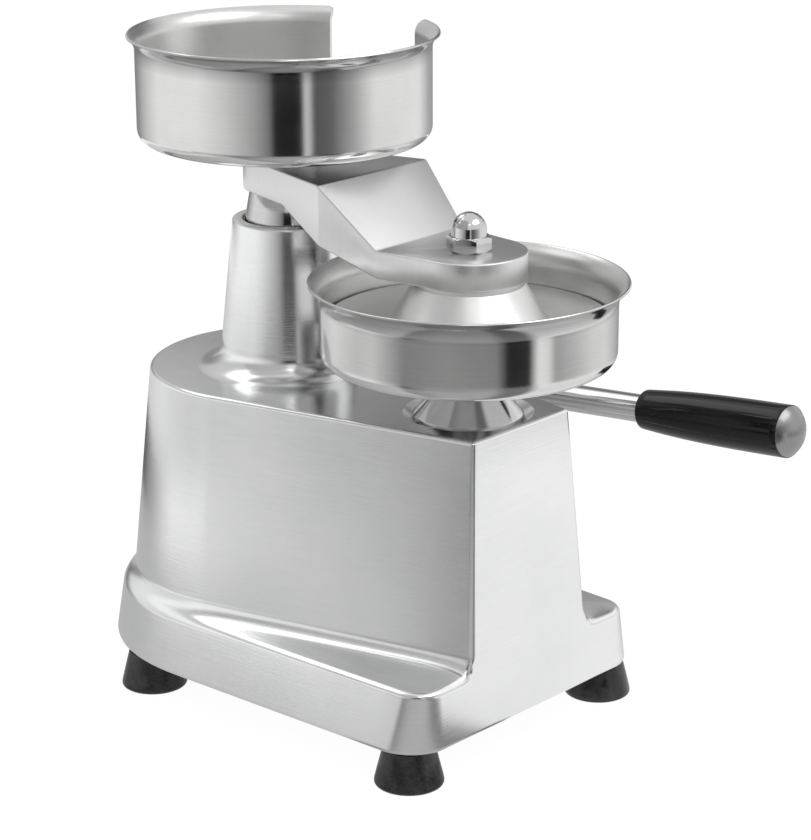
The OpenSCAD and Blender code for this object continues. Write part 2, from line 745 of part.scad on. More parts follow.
module press_plate()
    color("gainsboro") in_frame() difference() {
        rotate_extrude($fn = round_fn) polygon([
            [0, plate_z], [plate_r, plate_z], [plate_r, plate_top_z], [hub_foot_r, plate_top_z],
            [hub_top_r, nose_z - hub_land], [hub_top_r, nose_z], [0, nose_z]
        ]);
        translate([0, 0, nose_z - stud_in_plate]) round_bar(stud_r, stud_in_plate + over);
    }

module plate_stud()
    color("lightgray") in_frame() translate([0, 0, nose_z - stud_in_plate])
        round_bar(stud_r, stud_in_plate + nose_t + hex_h);

// Acorn nut: a hexagon with turned corners, then a domed cap
module acorn_nut()
    color("gainsboro") in_frame() translate([0, 0, nose_top_z]) difference() {
        union() {
            intersection() {
                cylinder(r = nut_corner_r, h = hex_h, $fn = 6);
                rotate_extrude($fn = round_fn) polygon([
                    [0, 0], [nut_af / 2, 0], [nut_corner_r, hex_chamfer],
                    [nut_corner_r, hex_h - hex_chamfer], [nut_af / 2, hex_h], [0, hex_h]
                ]);
            }
            rotate_extrude($fn = round_fn) polygon(concat(
                [[0, hex_h - over], [dome_r, hex_h - over]],
                arc(0, nut_h - dome_r, dome_r, 0, 90)
            ));
        }
        translate([0, 0, -over]) round_bar(stud_r, hex_h + over);
    }

module bowl_spacer()
    color("silver") in_frame() at_column() translate([0, 0, arm_top_z]) difference() {
        round_bar(spacer_r, spacer_t);
        translate([0, 0, -over]) round_bar(thread_r, spacer_t + 2 * over);
    }

// Outline of the finger slot: rounded below, its upper corners turned outward
module slot_outline() {
    half = slot_w / 2;
    floor_z = paper_z + slot_floor;
    polygon(concat(
        arc(slot_round_r - half, floor_z + slot_round_r, slot_round_r, 180, 270),
        arc(half - slot_round_r, floor_z + slot_round_r, slot_round_r, 270, 360),
        arc(half + slot_round_r, overall_h - slot_round_r, slot_round_r, 180, 90),
        [[half + slot_round_r, overall_h + over], [-half - slot_round_r, overall_h + over]],
        arc(-half - slot_round_r, overall_h - slot_round_r, slot_round_r, 90, 0)
    ));
}

module paper_bowl()
    color("gainsboro") in_frame() at_column() difference() {
        rotate_extrude($fn = round_fn) polygon(sheet_bowl(
            thread_r, paper_z, paper_wall_r, paper_rim_r, overall_h, paper_corner_r, paper_flare_h
        ));
        rotate([0, 0, slot_turn]) rotate([90, 0, 90])
            linear_extrude(height = paper_rim_r + over) slot_outline();
    }

module bowl_screw()
    color("silver") in_frame() at_column() {
        translate([0, 0, paper_z + bowl_t]) round_bar(bowl_screw_head_r, bowl_screw_head_h);
        translate([0, 0, arm_top_z - thread_l + tail])
            round_bar(thread_r, thread_l - tail + spacer_t + bowl_t + bowl_screw_head_h / 2);
    }

module lifting_tray()
    color("gainsboro") in_frame() translate([0, 0, tray_z]) difference() {
        round_bar(tray_r, tray_t);
        translate([0, 0, -over]) round_bar(rod_spigot_r, tray_t + 2 * over);
    }

module ejector_rod()
    color("lightgray") in_frame() rotate_extrude($fn = round_fn) polygon([
        [0, rod_foot_z + foot_face_t], [rod_spigot_r, rod_foot_z + foot_face_t],
        [rod_spigot_r, rod_foot_z + foot_disc_t], [rod_r, rod_foot_z + foot_disc_t], [rod_r, tray_z],
        [rod_spigot_r, tray_z], [rod_spigot_r, tray_z + tray_t], [0, tray_z + tray_t]
    ]);

module ejector_foot()
    color("slategray") in_frame() translate([0, 0, rod_foot_z]) difference() {
        round_bar(foot_disc_r, foot_disc_t);
        translate([0, 0, foot_face_t]) round_bar(rod_spigot_r, foot_disc_t);
    }

body_casting();
column_bush_upper();
column_bush_lower();
shaft_bush_right();
shaft_bush_left();
bowl_support();
support_nut();
ejector_guide();
forming_bowl();
foot_front_left();
foot_front_right();
foot_rear_left();
foot_rear_right();
foot_screws();
cross_shaft();
handle_hub();
hub_set_screw();
handle_rod();
handle_grip();
grip_end_cap();
lift_fork();
fork_pin();
ejector_lever();
lever_pin();
lever_roller();
column_yoke();
yoke_pin();
swing_arm();
column();
column_washer();
column_nut();
press_plate();
plate_stud();
acorn_nut();
bowl_spacer();
paper_bowl();
bowl_screw();
lifting_tray();
ejector_rod();
ejector_foot();
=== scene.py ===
# %% [markdown]
# # A burger press
# The real press is a satin metal housing on four rubber feet. A bowl on top takes the meat, a
# plate on a swinging arm presses it flat, and a long handle lifts both the arm and a tray that
# pushes the finished patty out. A second bowl above the arm holds the paper discs.
# The sizes come from the construction model, which is loaded first and never moved. Everything
# below is laid out in millimetres from the axis of the pressing bowl and turned into metres once.

# %% Load the construction model
import json
import math

import bmesh
import bpy
import numpy as np
from mathutils import Matrix, Vector


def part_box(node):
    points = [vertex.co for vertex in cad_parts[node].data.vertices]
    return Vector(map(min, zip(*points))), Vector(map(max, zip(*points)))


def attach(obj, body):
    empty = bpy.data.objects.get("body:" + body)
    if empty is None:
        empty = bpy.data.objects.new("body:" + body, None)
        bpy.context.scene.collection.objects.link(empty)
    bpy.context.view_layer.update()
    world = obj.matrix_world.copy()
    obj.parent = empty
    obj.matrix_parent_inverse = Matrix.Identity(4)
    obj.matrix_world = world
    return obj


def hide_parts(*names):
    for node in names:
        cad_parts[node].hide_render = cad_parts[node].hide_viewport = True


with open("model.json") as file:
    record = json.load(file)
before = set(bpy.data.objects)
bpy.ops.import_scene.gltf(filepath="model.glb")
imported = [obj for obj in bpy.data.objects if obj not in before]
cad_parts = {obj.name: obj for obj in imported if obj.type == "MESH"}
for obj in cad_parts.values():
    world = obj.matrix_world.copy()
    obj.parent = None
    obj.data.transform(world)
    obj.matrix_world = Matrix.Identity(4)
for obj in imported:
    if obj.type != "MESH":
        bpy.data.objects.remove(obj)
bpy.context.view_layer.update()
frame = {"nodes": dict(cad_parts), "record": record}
scene = bpy.context.scene
MM = 0.001


def middle(node):
    """Middle of a construction node's box, in metres."""
    low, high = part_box(node)
    return (low + high) / 2


press_axis = middle("acorn_nut")
column_y = (middle("column").y - press_axis.y) / MM
shaft_y = (middle("cross_shaft").y - press_axis.y) / MM
shaft_z = middle("cross_shaft").z / MM
print("column behind the press axis %.1f mm, shaft %.1f mm behind it and %.1f mm up"
      % (column_y, shaft_y, shaft_z))


def row(x, y, z):
    """A place in millimetres from the press axis, in the frame's metres."""
    return Vector((press_axis.x + x * MM, press_axis.y + y * MM, z * MM))


def in_scene(name, data):
    """A new object in the scene."""
    made = bpy.data.objects.new(name, data)
    scene.collection.objects.link(made)
    return made


# %% [markdown]
# ## Small helpers for node trees
# Materials and Geometry Nodes trees are both built from nodes. Setting each socket by hand takes
# a line for each, so one helper makes a node, sets its options and fills or links its inputs.

# %% Node helpers
def plug(tree, value, socket):
    """Links a socket to another one, or sets its value."""
    if isinstance(value, bpy.types.NodeSocket):
        tree.links.new(value, socket)
    else:
        socket.default_value = value


def find(sockets, name):
    """A socket by its number or, among those in use, by its name."""
    if isinstance(name, int):
        return sockets[name]
    return next(socket for socket in sockets if socket.name == name and socket.enabled)


def add(tree, kind, inputs=None, **options):
    """Adds a node; inputs are named or numbered, options are the node's own settings."""
    made = tree.nodes.new(kind)
    for name, value in options.items():
        setattr(made, name, value)
    for name, value in (inputs or {}).items():
        plug(tree, value, find(made.inputs, name))
    return made


def math_node(tree, operation, *values):
    """One Math node, by its operation, with its values or links in order."""
    made = add(tree, "ShaderNodeMath", dict(enumerate(values)), operation=operation)
    return made.outputs[0]


def spread(tree, value, low, high, start=0.0, end=1.0):
    """A value that runs from start to end, turned into one from low to high."""
    made = add(tree, "ShaderNodeMapRange", {
        "Value": value, "From Min": start, "From Max": end, "To Min": low, "To Max": high})
    return made.outputs["Result"]


def group_tree(name, kind, inputs, outputs):
    """An empty node group with named inputs and outputs, as (socket name, socket type)."""
    tree = bpy.data.node_groups.new(name, kind)
    for socket, socket_type in inputs:
        tree.interface.new_socket(socket, in_out="INPUT", socket_type=socket_type)
    for socket, socket_type in outputs:
        tree.interface.new_socket(socket, in_out="OUTPUT", socket_type=socket_type)
    return tree, tree.nodes.new("NodeGroupInput"), tree.nodes.new("NodeGroupOutput")


# %% [markdown]
# ## The camera
# The picture was taken from the front left, a little above the bowls, with a long lens. The
# camera stands where straight edges and round rims of the press fall in place in the frame.

# %% Camera
IMAGE_H = 840
CAMERA_AZ, CAMERA_EL, CAMERA_ROLL = -47.43, 18.25, -0.21
CAMERA_PLACE = (-797.67, -698.31, 486.98)
FOCAL_PX = 2652.66
SENSOR_MM = 36
SHIFT_PX = (2.57, 0.44)


def camera_turn(azimuth, elevation, roll):
    """Rotation of a camera whose azimuth 0 looks along +Y."""
    az, el, turn = (math.radians(a) for a in (azimuth, elevation, roll))
    back = Vector((math.sin(az) * math.cos(el), -math.cos(az) * math.cos(el), math.sin(el)))
    level = Vector((math.cos(az), math.sin(az), 0))
    over = back.cross(level)
    right = level * math.cos(turn) + over * math.sin(turn)
    up = back.cross(right)
    return Matrix((right, up, back)).transposed().to_4x4()


lens = bpy.data.cameras.new("picture_camera")
lens.sensor_fit = "VERTICAL"
lens.sensor_height = SENSOR_MM
lens.lens = FOCAL_PX * SENSOR_MM / IMAGE_H
lens.shift_x = -SHIFT_PX[0] / IMAGE_H
lens.shift_y = SHIFT_PX[1] / IMAGE_H
lens.clip_start, lens.clip_end = 0.05, 20
camera = in_scene("picture_camera", lens)
camera.matrix_world = Matrix.Translation(row(*CAMERA_PLACE)) @ camera_turn(
    CAMERA_AZ, CAMERA_EL, CAMERA_ROLL)
scene.camera = camera
scene.view_settings.view_transform = "Standard"
print("lens %.1f mm" % lens.lens)

# %% [markdown]
# ## The studio
# Polished metal shows what stands round it more than its own colour, so the studio matters as
# much as the finish. The sky and the floor are plain white to the camera, and the sky is a
# little greyer in reflections. Soft lamps give the black parts their highlights. The floor keeps
# a faint shadow of the press.

# %% World and floor
WHITE = (1, 1, 1, 1)
SKY_LIGHT, SKY_IN_METAL, SKY_IN_PICTURE = 0.55, 0.86, 1.0
FLOOR_GLOW, FLOOR_MATTE, FLOOR_SHADOW, FLOOR_REACH = 0.965, 0.8, 0.06, 6


def grey(level):
    return (level, level, level, 1)


def seen_by_metal(tree):
    """1 for camera, glossy and transmission rays, and 0 for the rest."""
    path = add(tree, "ShaderNodeLightPath")
    some = math_node(tree, "MAXIMUM", path.outputs["Is Camera Ray"], path.outputs["Is Glossy Ray"])
    return math_node(tree, "MAXIMUM", some, path.outputs["Is Transmission Ray"])


def either(tree, first, second):
    """The first shader for light that falls on things, the second for what is seen."""
    made = add(tree, "ShaderNodeMixShader",
               {0: seen_by_metal(tree), 1: first.outputs[0], 2: second.outputs[0]})
    return made.outputs[0]


def blank_material(name):
    material = bpy.data.materials.new(name)
    material.use_nodes = True
    material.node_tree.nodes.clear()
    return material, material.node_tree


def stage_piece(name, corners, faces, material, in_picture=False):
    """A piece of the studio, which isn't part of the press and mostly shows in reflections only."""
    mesh = bpy.data.meshes.new(name)
    mesh.from_pydata(corners, [], faces)
    mesh.materials.append(material)
    made = in_scene(name, mesh)
    made.visible_camera = made.visible_shadow = made.visible_diffuse = in_picture
    made.visible_transmission = in_picture
    return made


world = bpy.data.worlds.new("white_studio")
scene.world = world
world.use_nodes = True
sky = world.node_tree
sky.nodes.clear()
sky_seen = spread(sky, add(sky, "ShaderNodeLightPath").outputs["Is Camera Ray"],
                  SKY_IN_METAL, SKY_IN_PICTURE)
lit = add(sky, "ShaderNodeBackground", {"Color": WHITE, "Strength": SKY_LIGHT})
shown = add(sky, "ShaderNodeBackground", {"Color": WHITE, "Strength": sky_seen})
add(sky, "ShaderNodeOutputWorld", {"Surface": either(sky, lit, shown)})

floor_material, tree = blank_material("white_floor")
matte = add(tree, "ShaderNodeBsdfDiffuse", {"Color": grey(FLOOR_MATTE)})
thin = add(tree, "ShaderNodeBsdfDiffuse", {"Color": grey(FLOOR_SHADOW)})
glow = add(tree, "ShaderNodeEmission", {"Color": WHITE, "Strength": FLOOR_GLOW})
plain = add(tree, "ShaderNodeAddShader", {0: thin.outputs[0], 1: glow.outputs[0]})
add(tree, "ShaderNodeOutputMaterial", {"Surface": either(tree, matte, plain)})
SQUARE = ((-1, -1), (1, -1), (1, 1), (-1, 1))
stage_piece("floor", [(x * FLOOR_REACH, y * FLOOR_REACH, 0) for x, y in SQUARE], [(0, 1, 2, 3)],
            floor_material, in_picture=True)


# %% Cards and lamps
def facing(centre, target, front):
    """Place and rotation that turn an axis towards a target."""
    turn = (target - centre).to_track_quat(front, "Y").to_matrix().to_4x4()
    return Matrix.Translation(centre) @ turn


def glowing(name, strength=1.0):
    """A material that only glows, its tree and the glow."""
    material, tree = blank_material(name)
    glow = add(tree, "ShaderNodeEmission", {"Color": WHITE, "Strength": strength})
    add(tree, "ShaderNodeOutputMaterial", {"Surface": glow.outputs[0]})
    return material, tree, glow


def card(name, centre, target, width, height, strength):
    """A card of even brightness, sized in metres, that only reflections show."""
    place = facing(centre, target, "Z")
    corners = [place @ Vector((x * width / 2, y * height / 2, 0)) for x, y in SQUARE]
    stage_piece(name, corners, [(0, 1, 2, 3)], glowing(name, strength)[0])


def lamp(name, centre, target, size, watts):
    """A soft square lamp, sized in metres."""
    light = bpy.data.lights.new(name, "AREA")
    light.shape = "SQUARE"
    light.size = size
    light.energy = watts
    made = in_scene(name, light)
    made.matrix_world = facing(centre, target, "-Z")


card("side_card", row(-520, 60, 240), row(0, 60, 100), 0.75, 0.62, 0.44)
card("high_card", row(-560, 60, 800), row(0, 60, 100), 0.9, 0.5, 0.50)
lamp("key_lamp", row(500, -1300, 1300), row(0, 0, 120), 1.5, 14)
lamp("fill_lamp", row(-1400, -500, 900), row(0, 50, 120), 1.7, 8)
lamp("back_lamp", row(-500, 1500, 1200), row(0, 50, 150), 2.2, 12)

# %% [markdown]
# ## Bands of cloth round the press
# Spun bowls are upright mirrors: each strip of the wall shows one compass direction. The dark
# and bright upright bands in the picture are therefore things that stood round the press. Rings
# of cloth stand in for them: one for the foot, one for each bowl, one further back for the flat
# top and one that lies on the floor. Their brightness runs with the compass angle, counted from
# the camera to its right, and is listed stop by stop. The last stop closes the ring, so it repeats
# the first. Only reflections see the cloth.

# %% Bands of cloth
BAND_RADIUS, BACK_RADIUS, FLOOR_HOLE, BAND_STEPS = 0.40, 0.85, 0.01, 128
FOOT_BAND = [
    (-180, 0.10), (-140, 0.10), (-118, 0.45), (-100, 1.0), (-76, 1.0), (-66, 0.74), (-56, 0.56),
    (-49, 0.14), (-30, 0.36), (15, 0.42), (26, 0.22), (42, 0.22), (52, 1.0), (130, 1.0),
    (150, 0.5), (180, 0.10)]
FLOOR_CLOTH = [
    (-180, 0.50), (-120, 0.50), (-54, 0.62), (-48, 0.34), (-20, 0.46), (15, 0.46), (26, 0.22),
    (42, 0.22), (52, 0.90), (110, 0.93), (135, 0.60), (180, 0.50)]
LOWER_BAND = [
    (-180, 0.28), (-158, 0.55), (-118, 0.85), (-90, 0.68), (-74, 0.72), (-58, 0.44), (-48, 0.27),
    (-15, 0.32), (18, 0.28), (26, 0.02), (42, 0.02), (49, 1.0), (57, 0.9), (63, 0.42), (78, 0.55),
    (100, 0.80), (118, 0.85), (140, 0.55), (158, 0.30), (180, 0.28)]
UPPER_BAND = [
    (-180, 0.28), (-155, 0.25), (-142, 0.34), (-122, 0.70), (-104, 1.0), (-62, 1.0), (-40, 0.74),
    (-18, 0.40), (-8, 0.20), (-5, 0.01), (14, 0.01), (17, 0.75), (20, 0.6), (23, 0.10),
    (36, 0.16), (52, 0.45), (70, 0.95), (120, 1.0), (140, 0.50), (165, 0.30), (180, 0.28)]
BACK_BAND = [
    (-180, 0.20), (-174, 0.30), (-166, 0.60), (-150, 0.60), (-80, 0.58), (-40, 0.80), (120, 0.90),
    (140, 0.50), (160, 0.14), (180, 0.20)]


def ring_faces(count):
    """Faces between two rings of as many corners."""
    return [(k, (k + 1) % count, count + (k + 1) % count, count + k) for k in range(count)]


def band(name, behind, low, high, stops, inner=BAND_RADIUS, outer=BAND_RADIUS):
    """A ring of cloth whose brightness follows (angle right of the camera, brightness).

    Heights and radii are in metres, and the place behind the press axis in millimetres.
    """
    turns = [2 * math.pi * k / BAND_STEPS for k in range(BAND_STEPS)]
    corners = [(radius * math.cos(t), radius * math.sin(t), z)
               for radius, z in ((inner, low), (outer, high)) for t in turns]
    material, tree, glow = glowing(name)
    place = add(tree, "ShaderNodeMapping",
                {"Vector": add(tree, "ShaderNodeTexCoord").outputs["Object"],
                 "Rotation": (0, 0, math.radians(90 - CAMERA_AZ))})
    compass = add(tree, "ShaderNodeTexGradient", {"Vector": place.outputs[0]},
                  gradient_type="RADIAL")
    ramp = add(tree, "ShaderNodeValToRGB", {"Fac": compass.outputs["Fac"]})
    marks = ramp.color_ramp.elements
    marks[0].position, marks[1].position = 0, 1
    marks[0].color = marks[1].color = grey(stops[0][1])
    for angle, level in stops[1:-1]:
        marks.new((angle + 180) / 360).color = grey(level)
    plug(tree, ramp.outputs["Color"], glow.inputs["Color"])
    stage_piece(name, corners, ring_faces(BAND_STEPS), material).location = row(0, behind, 0)


band("foot_band", 0, 0.001, 0.044, FOOT_BAND)
band("lower_band", 0, 0.045, 0.127, LOWER_BAND)
band("upper_band", column_y, 0.128, 0.258, UPPER_BAND)
band("back_band", 0, 0.26, 0.80, BACK_BAND, BACK_RADIUS, BACK_RADIUS)
band("floor_cloth", 0, 0.001, 0.001, FLOOR_CLOTH, inner=FLOOR_HOLE)

# %% [markdown]
# ## Effects that several finishes share
# Brushed metal, turned metal, cast skin and the smudges of handling are each one node group, so
# that every finish uses the same pattern with its own values. Each puts out a mask between 0
# and 1. They are made from noise: stretched for brush lines, along one direction only for the
# rings that a lathe or a spinning tool leaves, fine and round for grain, and large for smudges.

# %% Shader groups
FLOAT, VECTOR = "NodeSocketFloat", "NodeSocketVector"


def pattern_group(name, inputs, output):
    return group_tree(name, "ShaderNodeTree", inputs, [(output, FLOAT)])


def noise(tree, inputs, detail, rough, **options):
    """A noise texture: what it reads, how detailed and how rough it is."""
    made = add(tree, "ShaderNodeTexNoise", {**inputs, "Detail": detail, "Roughness": rough},
               **options)
    return made.outputs["Fac"]


def brushed_lines():
    """Noise stretched along some axes: lines per metre along each."""
    tree, put, out = pattern_group(
        "brushed_lines", [("Vector", VECTOR), ("Lines per metre", VECTOR)], "Lines")
    scaled = add(tree, "ShaderNodeVectorMath", {0: put.outputs[0], 1: put.outputs[1]},
                 operation="MULTIPLY")
    lines = noise(tree, {"Vector": scaled.outputs[0], "Scale": 1.0}, 3.0, 0.65)
    plug(tree, lines, out.inputs["Lines"])
    return tree


def turned_lines():
    """Rings: noise that changes only along the section of a turned piece."""
    tree, put, out = pattern_group(
        "turned_lines", [("Along", FLOAT), ("Lines per metre", FLOAT)], "Lines")
    scaled = math_node(tree, "MULTIPLY", put.outputs[0], put.outputs[1])
    lines = noise(tree, {"W": scaled, "Scale": 1.0}, 4.0, 0.6, noise_dimensions="1D")
    plug(tree, lines, out.inputs["Lines"])
    return tree


def spots_group(name, detail, rough, low, high):
    """Round spots, by their size in metres; noise from low to high becomes a mask from 0 to 1."""
    tree, put, out = pattern_group(name, [("Vector", VECTOR), ("Size", FLOAT)], "Mask")
    scale = math_node(tree, "DIVIDE", 1.0, put.outputs["Size"])
    spots = noise(tree, {"Vector": put.outputs["Vector"], "Scale": scale}, detail, rough)
    plug(tree, spread(tree, spots, 0.0, 1.0, low, high), out.inputs["Mask"])
    return tree


EFFECTS = {tree.name: tree for tree in (
    brushed_lines(), turned_lines(), spots_group("cast_grain", 2.0, 0.7, 0.0, 1.0),
    spots_group("smudges", 5.0, 0.55, 0.3, 0.7))}
print("shared effects:", ", ".join(sorted(EFFECTS)))

# %% [markdown]
# ## Finishes
# A finish is one Principled shader with the effects plugged into its colour, roughness and bump.
# Values that are the same all over the surface are set on the shader itself. The brush lines and
# smudges read Object coordinates, and the rings read an attribute that every turned piece
# carries: the distance along its section.

# %% Finish helpers
ALONG = "along"
# LIP_BLEND is where the rougher inside begins; FLARE_RUN is how far below the lip the painted shade
# reaches.
LIP_BLEND, FLARE_RUN = 0.003, 0.012
BLACK = (0, 0, 0)
FINISHES = {}


def effect(tree, name, inputs):
    """Places a shared effect in a material and gives its output."""
    made = add(tree, "ShaderNodeGroup")
    made.node_tree = EFFECTS[name]
    for socket, value in inputs.items():
        plug(tree, value, made.inputs[socket])
    return made.outputs[0]


def tint(tree, mask, first, second):
    """A mask from 0 to 1 turned into a colour between two."""
    made = add(tree, "ShaderNodeMix", data_type="RGBA")
    for value, socket in ((mask, 0), (first, 6), (second, 7)):
        plug(tree, (*value, 1) if isinstance(value, tuple) else value, made.inputs[socket])
    return made.outputs[2]


def bump(tree, height, depth, under=None):
    """A bump whose full height is a depth in metres, on top of another bump."""
    made = add(tree, "ShaderNodeBump", {"Height": height, "Distance": depth, "Strength": 1.0})
    if under is not None:
        plug(tree, under, made.inputs["Normal"])
    return made.outputs["Normal"]


def finish(name, values):
    """A finish with one Principled shader, set to fixed values: its tree and the shader."""
    material = bpy.data.materials.new(name)
    material.use_nodes = True
    tree = material.node_tree
    shader = tree.nodes["Principled BSDF"]
    for socket, value in values.items():
        shader.inputs[socket].default_value = value
    FINISHES[name] = material
    return tree, shader


def object_place(tree):
    return add(tree, "ShaderNodeTexCoord").outputs["Object"]


def flare_painted_shade(tree, along, colour, share):
    """Painted shade: the colour darker by a share on the outer side of the flare under a bowl's
    lip.
    """
    lip_shade_ramp = spread(tree, along, 0.0, 1.0, -FLARE_RUN, -FLARE_RUN / 2)
    flare = math_node(tree, "MULTIPLY", lip_shade_ramp, math_node(tree, "LESS_THAN", along, 0.0))
    return tint(tree, math_node(tree, "MULTIPLY", flare, share), colour, BLACK)


def metal(name, dark, light, rough, lines, depth, turned=False, inside=0, lip_painted_shade=0,
          grain=None, cloud=0.03):
    """A bare metal: its colours, roughness range, lines per metre and depth of its lines.

    The inside of a bowl, where the distance along its section is above zero, can be rougher, and
    the outer side of the flare under its lip can get painted shade, a darker colour.
    """
    tree, shader = finish(name, {"Metallic": 1.0})
    place = object_place(tree)
    clouds = effect(tree, "smudges", {"Vector": place, "Size": cloud})
    if turned:
        along = add(tree, "ShaderNodeAttribute", attribute_name=ALONG).outputs["Fac"]
        marks = effect(tree, "turned_lines", {"Along": along, "Lines per metre": lines})
    else:
        marks = effect(tree, "brushed_lines", {"Vector": place, "Lines per metre": lines})
    both = math_node(tree, "MULTIPLY", math_node(tree, "ADD", clouds, marks), 0.5)
    colour = tint(tree, both, dark, light)
    # Painted shade darkens the colour of the flare under a bowl's lip.
    if lip_painted_shade:
        colour = flare_painted_shade(tree, along, colour, lip_painted_shade)
    plug(tree, colour, shader.inputs["Base Color"])
    roughness = spread(tree, both, *rough)
    if inside:
        past_lip = spread(tree, along, 0.0, 1.0, 0.0, LIP_BLEND)
        roughness = math_node(tree, "MULTIPLY_ADD", past_lip, inside, roughness)
    plug(tree, roughness, shader.inputs["Roughness"])
    normal = bump(tree, marks, depth)
    if grain:
        size, height = grain
        grains = effect(tree, "cast_grain", {"Vector": place, "Size": size})
        normal = bump(tree, grains, height, normal)
    plug(tree, normal, shader.inputs["Normal"])


# %% Metals of the press
metal("cast_body", (0.78, 0.785, 0.79), (0.93, 0.93, 0.93), (0.15, 0.24), (45, 45, 2400),
      0.00003, grain=(0.0007, 0.000012), cloud=0.06)
# The bowls' steel has painted shade on the flare under the lip.
metal("polished_stainless", (0.64, 0.64, 0.635), (0.78, 0.78, 0.775), (0.08, 0.15), 1500,
      0.000006, turned=True, inside=0.2, lip_painted_shade=0.42)
metal("satin_plate", (0.72, 0.72, 0.715), (0.84, 0.84, 0.835), (0.32, 0.42), 2200, 0.00002,
      turned=True)
metal("chromed_steel", (0.58, 0.58, 0.585), (0.70, 0.70, 0.705), (0.08, 0.14), 900, 0.000004,
      turned=True)
metal("satin_arm", (0.68, 0.68, 0.68), (0.84, 0.84, 0.84), (0.27, 0.38), (2600, 50, 50), 0.00002,
      grain=(0.0009, 0.000014), cloud=0.09)
metal("bright_steel", (0.25, 0.25, 0.255), (0.34, 0.34, 0.345), (0.22, 0.34), 1500, 0.000008,
      turned=True)
metal("plain_steel", (0.30, 0.30, 0.31), (0.42, 0.42, 0.43), (0.34, 0.50), (900, 900, 900),
      0.00003, grain=(0.001, 0.00002))
metal("zinc_fasteners", (0.50, 0.51, 0.53), (0.66, 0.67, 0.68), (0.26, 0.40), (700, 700, 700),
      0.00001)
metal("bronze", (0.55, 0.36, 0.16), (0.72, 0.50, 0.25), (0.28, 0.42), (300, 300, 1500), 0.00001)


# %% Rubber, grip and nylon
def soft_finish(name, dark, light, rough, grain, values, cloud=0.01):
    """Rubber or plastic: colours, roughness range, and grain as (size, height)."""
    tree, shader = finish(name, values)
    place = object_place(tree)
    clouds = effect(tree, "smudges", {"Vector": place, "Size": cloud})
    fine = effect(tree, "cast_grain", {"Vector": place, "Size": grain[0]})
    plug(tree, tint(tree, math_node(tree, "MULTIPLY", clouds, fine), dark, light),
         shader.inputs["Base Color"])
    plug(tree, spread(tree, clouds, *rough), shader.inputs["Roughness"])
    plug(tree, bump(tree, fine, grain[1]), shader.inputs["Normal"])


soft_finish("black_rubber", (0.003, 0.003, 0.0035), (0.05, 0.05, 0.052), (0.14, 0.36),
            (0.0013, 0.00009), {"Specular IOR Level": 0.5}, cloud=0.006)
soft_finish("black_grip", (0.002, 0.002, 0.0025), (0.006, 0.006, 0.0065), (0.22, 0.34),
            (0.0015, 0.000004), {"Specular IOR Level": 0.08, "Coat Weight": 0.55,
                                 "Coat Roughness": 0.04}, cloud=0.03)
soft_finish("white_nylon", (0.72, 0.71, 0.68), (0.82, 0.81, 0.78), (0.38, 0.50),
            (0.001, 0.00001), {"Subsurface Weight": 0.1, "Subsurface Scale": 0.002})
print("finishes:", len(FINISHES))

# %% [markdown]
# ## From section to turned piece
# Bowls, plate, support, column, rod, grip, cap and feet are all round: one section, swept round
# an axis. The Screw modifier could do it, but it needs a turned profile object for each. A small
# Geometry Nodes tree does the same from rules: a grid of points, section point by segment, is
# bent into the round. It also stores how far along its section each point lies, for the rings
# that a lathe leaves.

# %% The turning tree
GEOMETRY, WHOLE, FINISH = "NodeSocketGeometry", "NodeSocketInt", "NodeSocketMaterial"
WELD = 0.000008


def end_tree(tree, geometry, put, out):
    """Ends a tree: instances made real, the finish set, the result put out."""
    single = add(tree, "GeometryNodeRealizeInstances", {0: geometry})
    painted = add(tree, "GeometryNodeSetMaterial",
                  {0: single.outputs[0], "Material": put.outputs["Finish"]})
    plug(tree, painted.outputs[0], out.inputs[0])
    return tree


def turning_tree():
    tree, put, out = group_tree(
        "turned_piece", "GeometryNodeTree",
        [("Section", GEOMETRY), ("Segments", WHOLE), ("Finish", FINISH)], [("Piece", GEOMETRY)])
    section, segments = put.outputs["Section"], put.outputs["Segments"]
    count = add(tree, "GeometryNodeAttributeDomainSize", {0: section}).outputs["Point Count"]
    grid = add(tree, "GeometryNodeMeshGrid",
               {"Vertices X": math_node(tree, "ADD", segments, 1), "Vertices Y": count})
    index = add(tree, "GeometryNodeInputIndex").outputs[0]
    step = math_node(tree, "FLOOR", math_node(tree, "DIVIDE", index, count))
    place = math_node(tree, "MODULO", index, count)

    def sampled(value, data_type):
        made = add(tree, "GeometryNodeSampleIndex", {0: section, "Value": value, "Index": place},
                   data_type=data_type)
        return find(made.outputs, "Value")

    spot = add(tree, "ShaderNodeSeparateXYZ",
               {0: sampled(add(tree, "GeometryNodeInputPosition").outputs[0], "FLOAT_VECTOR")})
    stored = add(tree, "GeometryNodeInputNamedAttribute", {"Name": ALONG}, data_type="FLOAT")
    along = add(tree, "GeometryNodeFieldOnDomain",
                {0: sampled(find(stored.outputs, "Attribute"), "FLOAT")}, data_type="FLOAT")
    angle = math_node(tree, "MULTIPLY", math_node(tree, "DIVIDE", step, segments), 2 * math.pi)
    bent = add(tree, "ShaderNodeCombineXYZ", {
        "X": math_node(tree, "MULTIPLY", spot.outputs["X"], math_node(tree, "COSINE", angle)),
        "Y": math_node(tree, "MULTIPLY", spot.outputs["X"], math_node(tree, "SINE", angle)),
        "Z": spot.outputs["Z"]})
    placed = add(tree, "GeometryNodeSetPosition",
                 {0: grid.outputs["Mesh"], "Position": bent.outputs[0]})
    noted = add(tree, "GeometryNodeStoreNamedAttribute",
                {0: placed.outputs[0], "Name": ALONG, "Value": find(along.outputs, "Value")},
                data_type="FLOAT", domain="CORNER")
    welded = add(tree, "GeometryNodeMergeByDistance", {0: noted.outputs[0], "Distance": WELD})
    return end_tree(tree, welded.outputs[0], put, out)


TURNING = turning_tree()
print("turning tree nodes:", len(TURNING.nodes))

# %% Running a tree and finishing a mesh
CREASE = 35


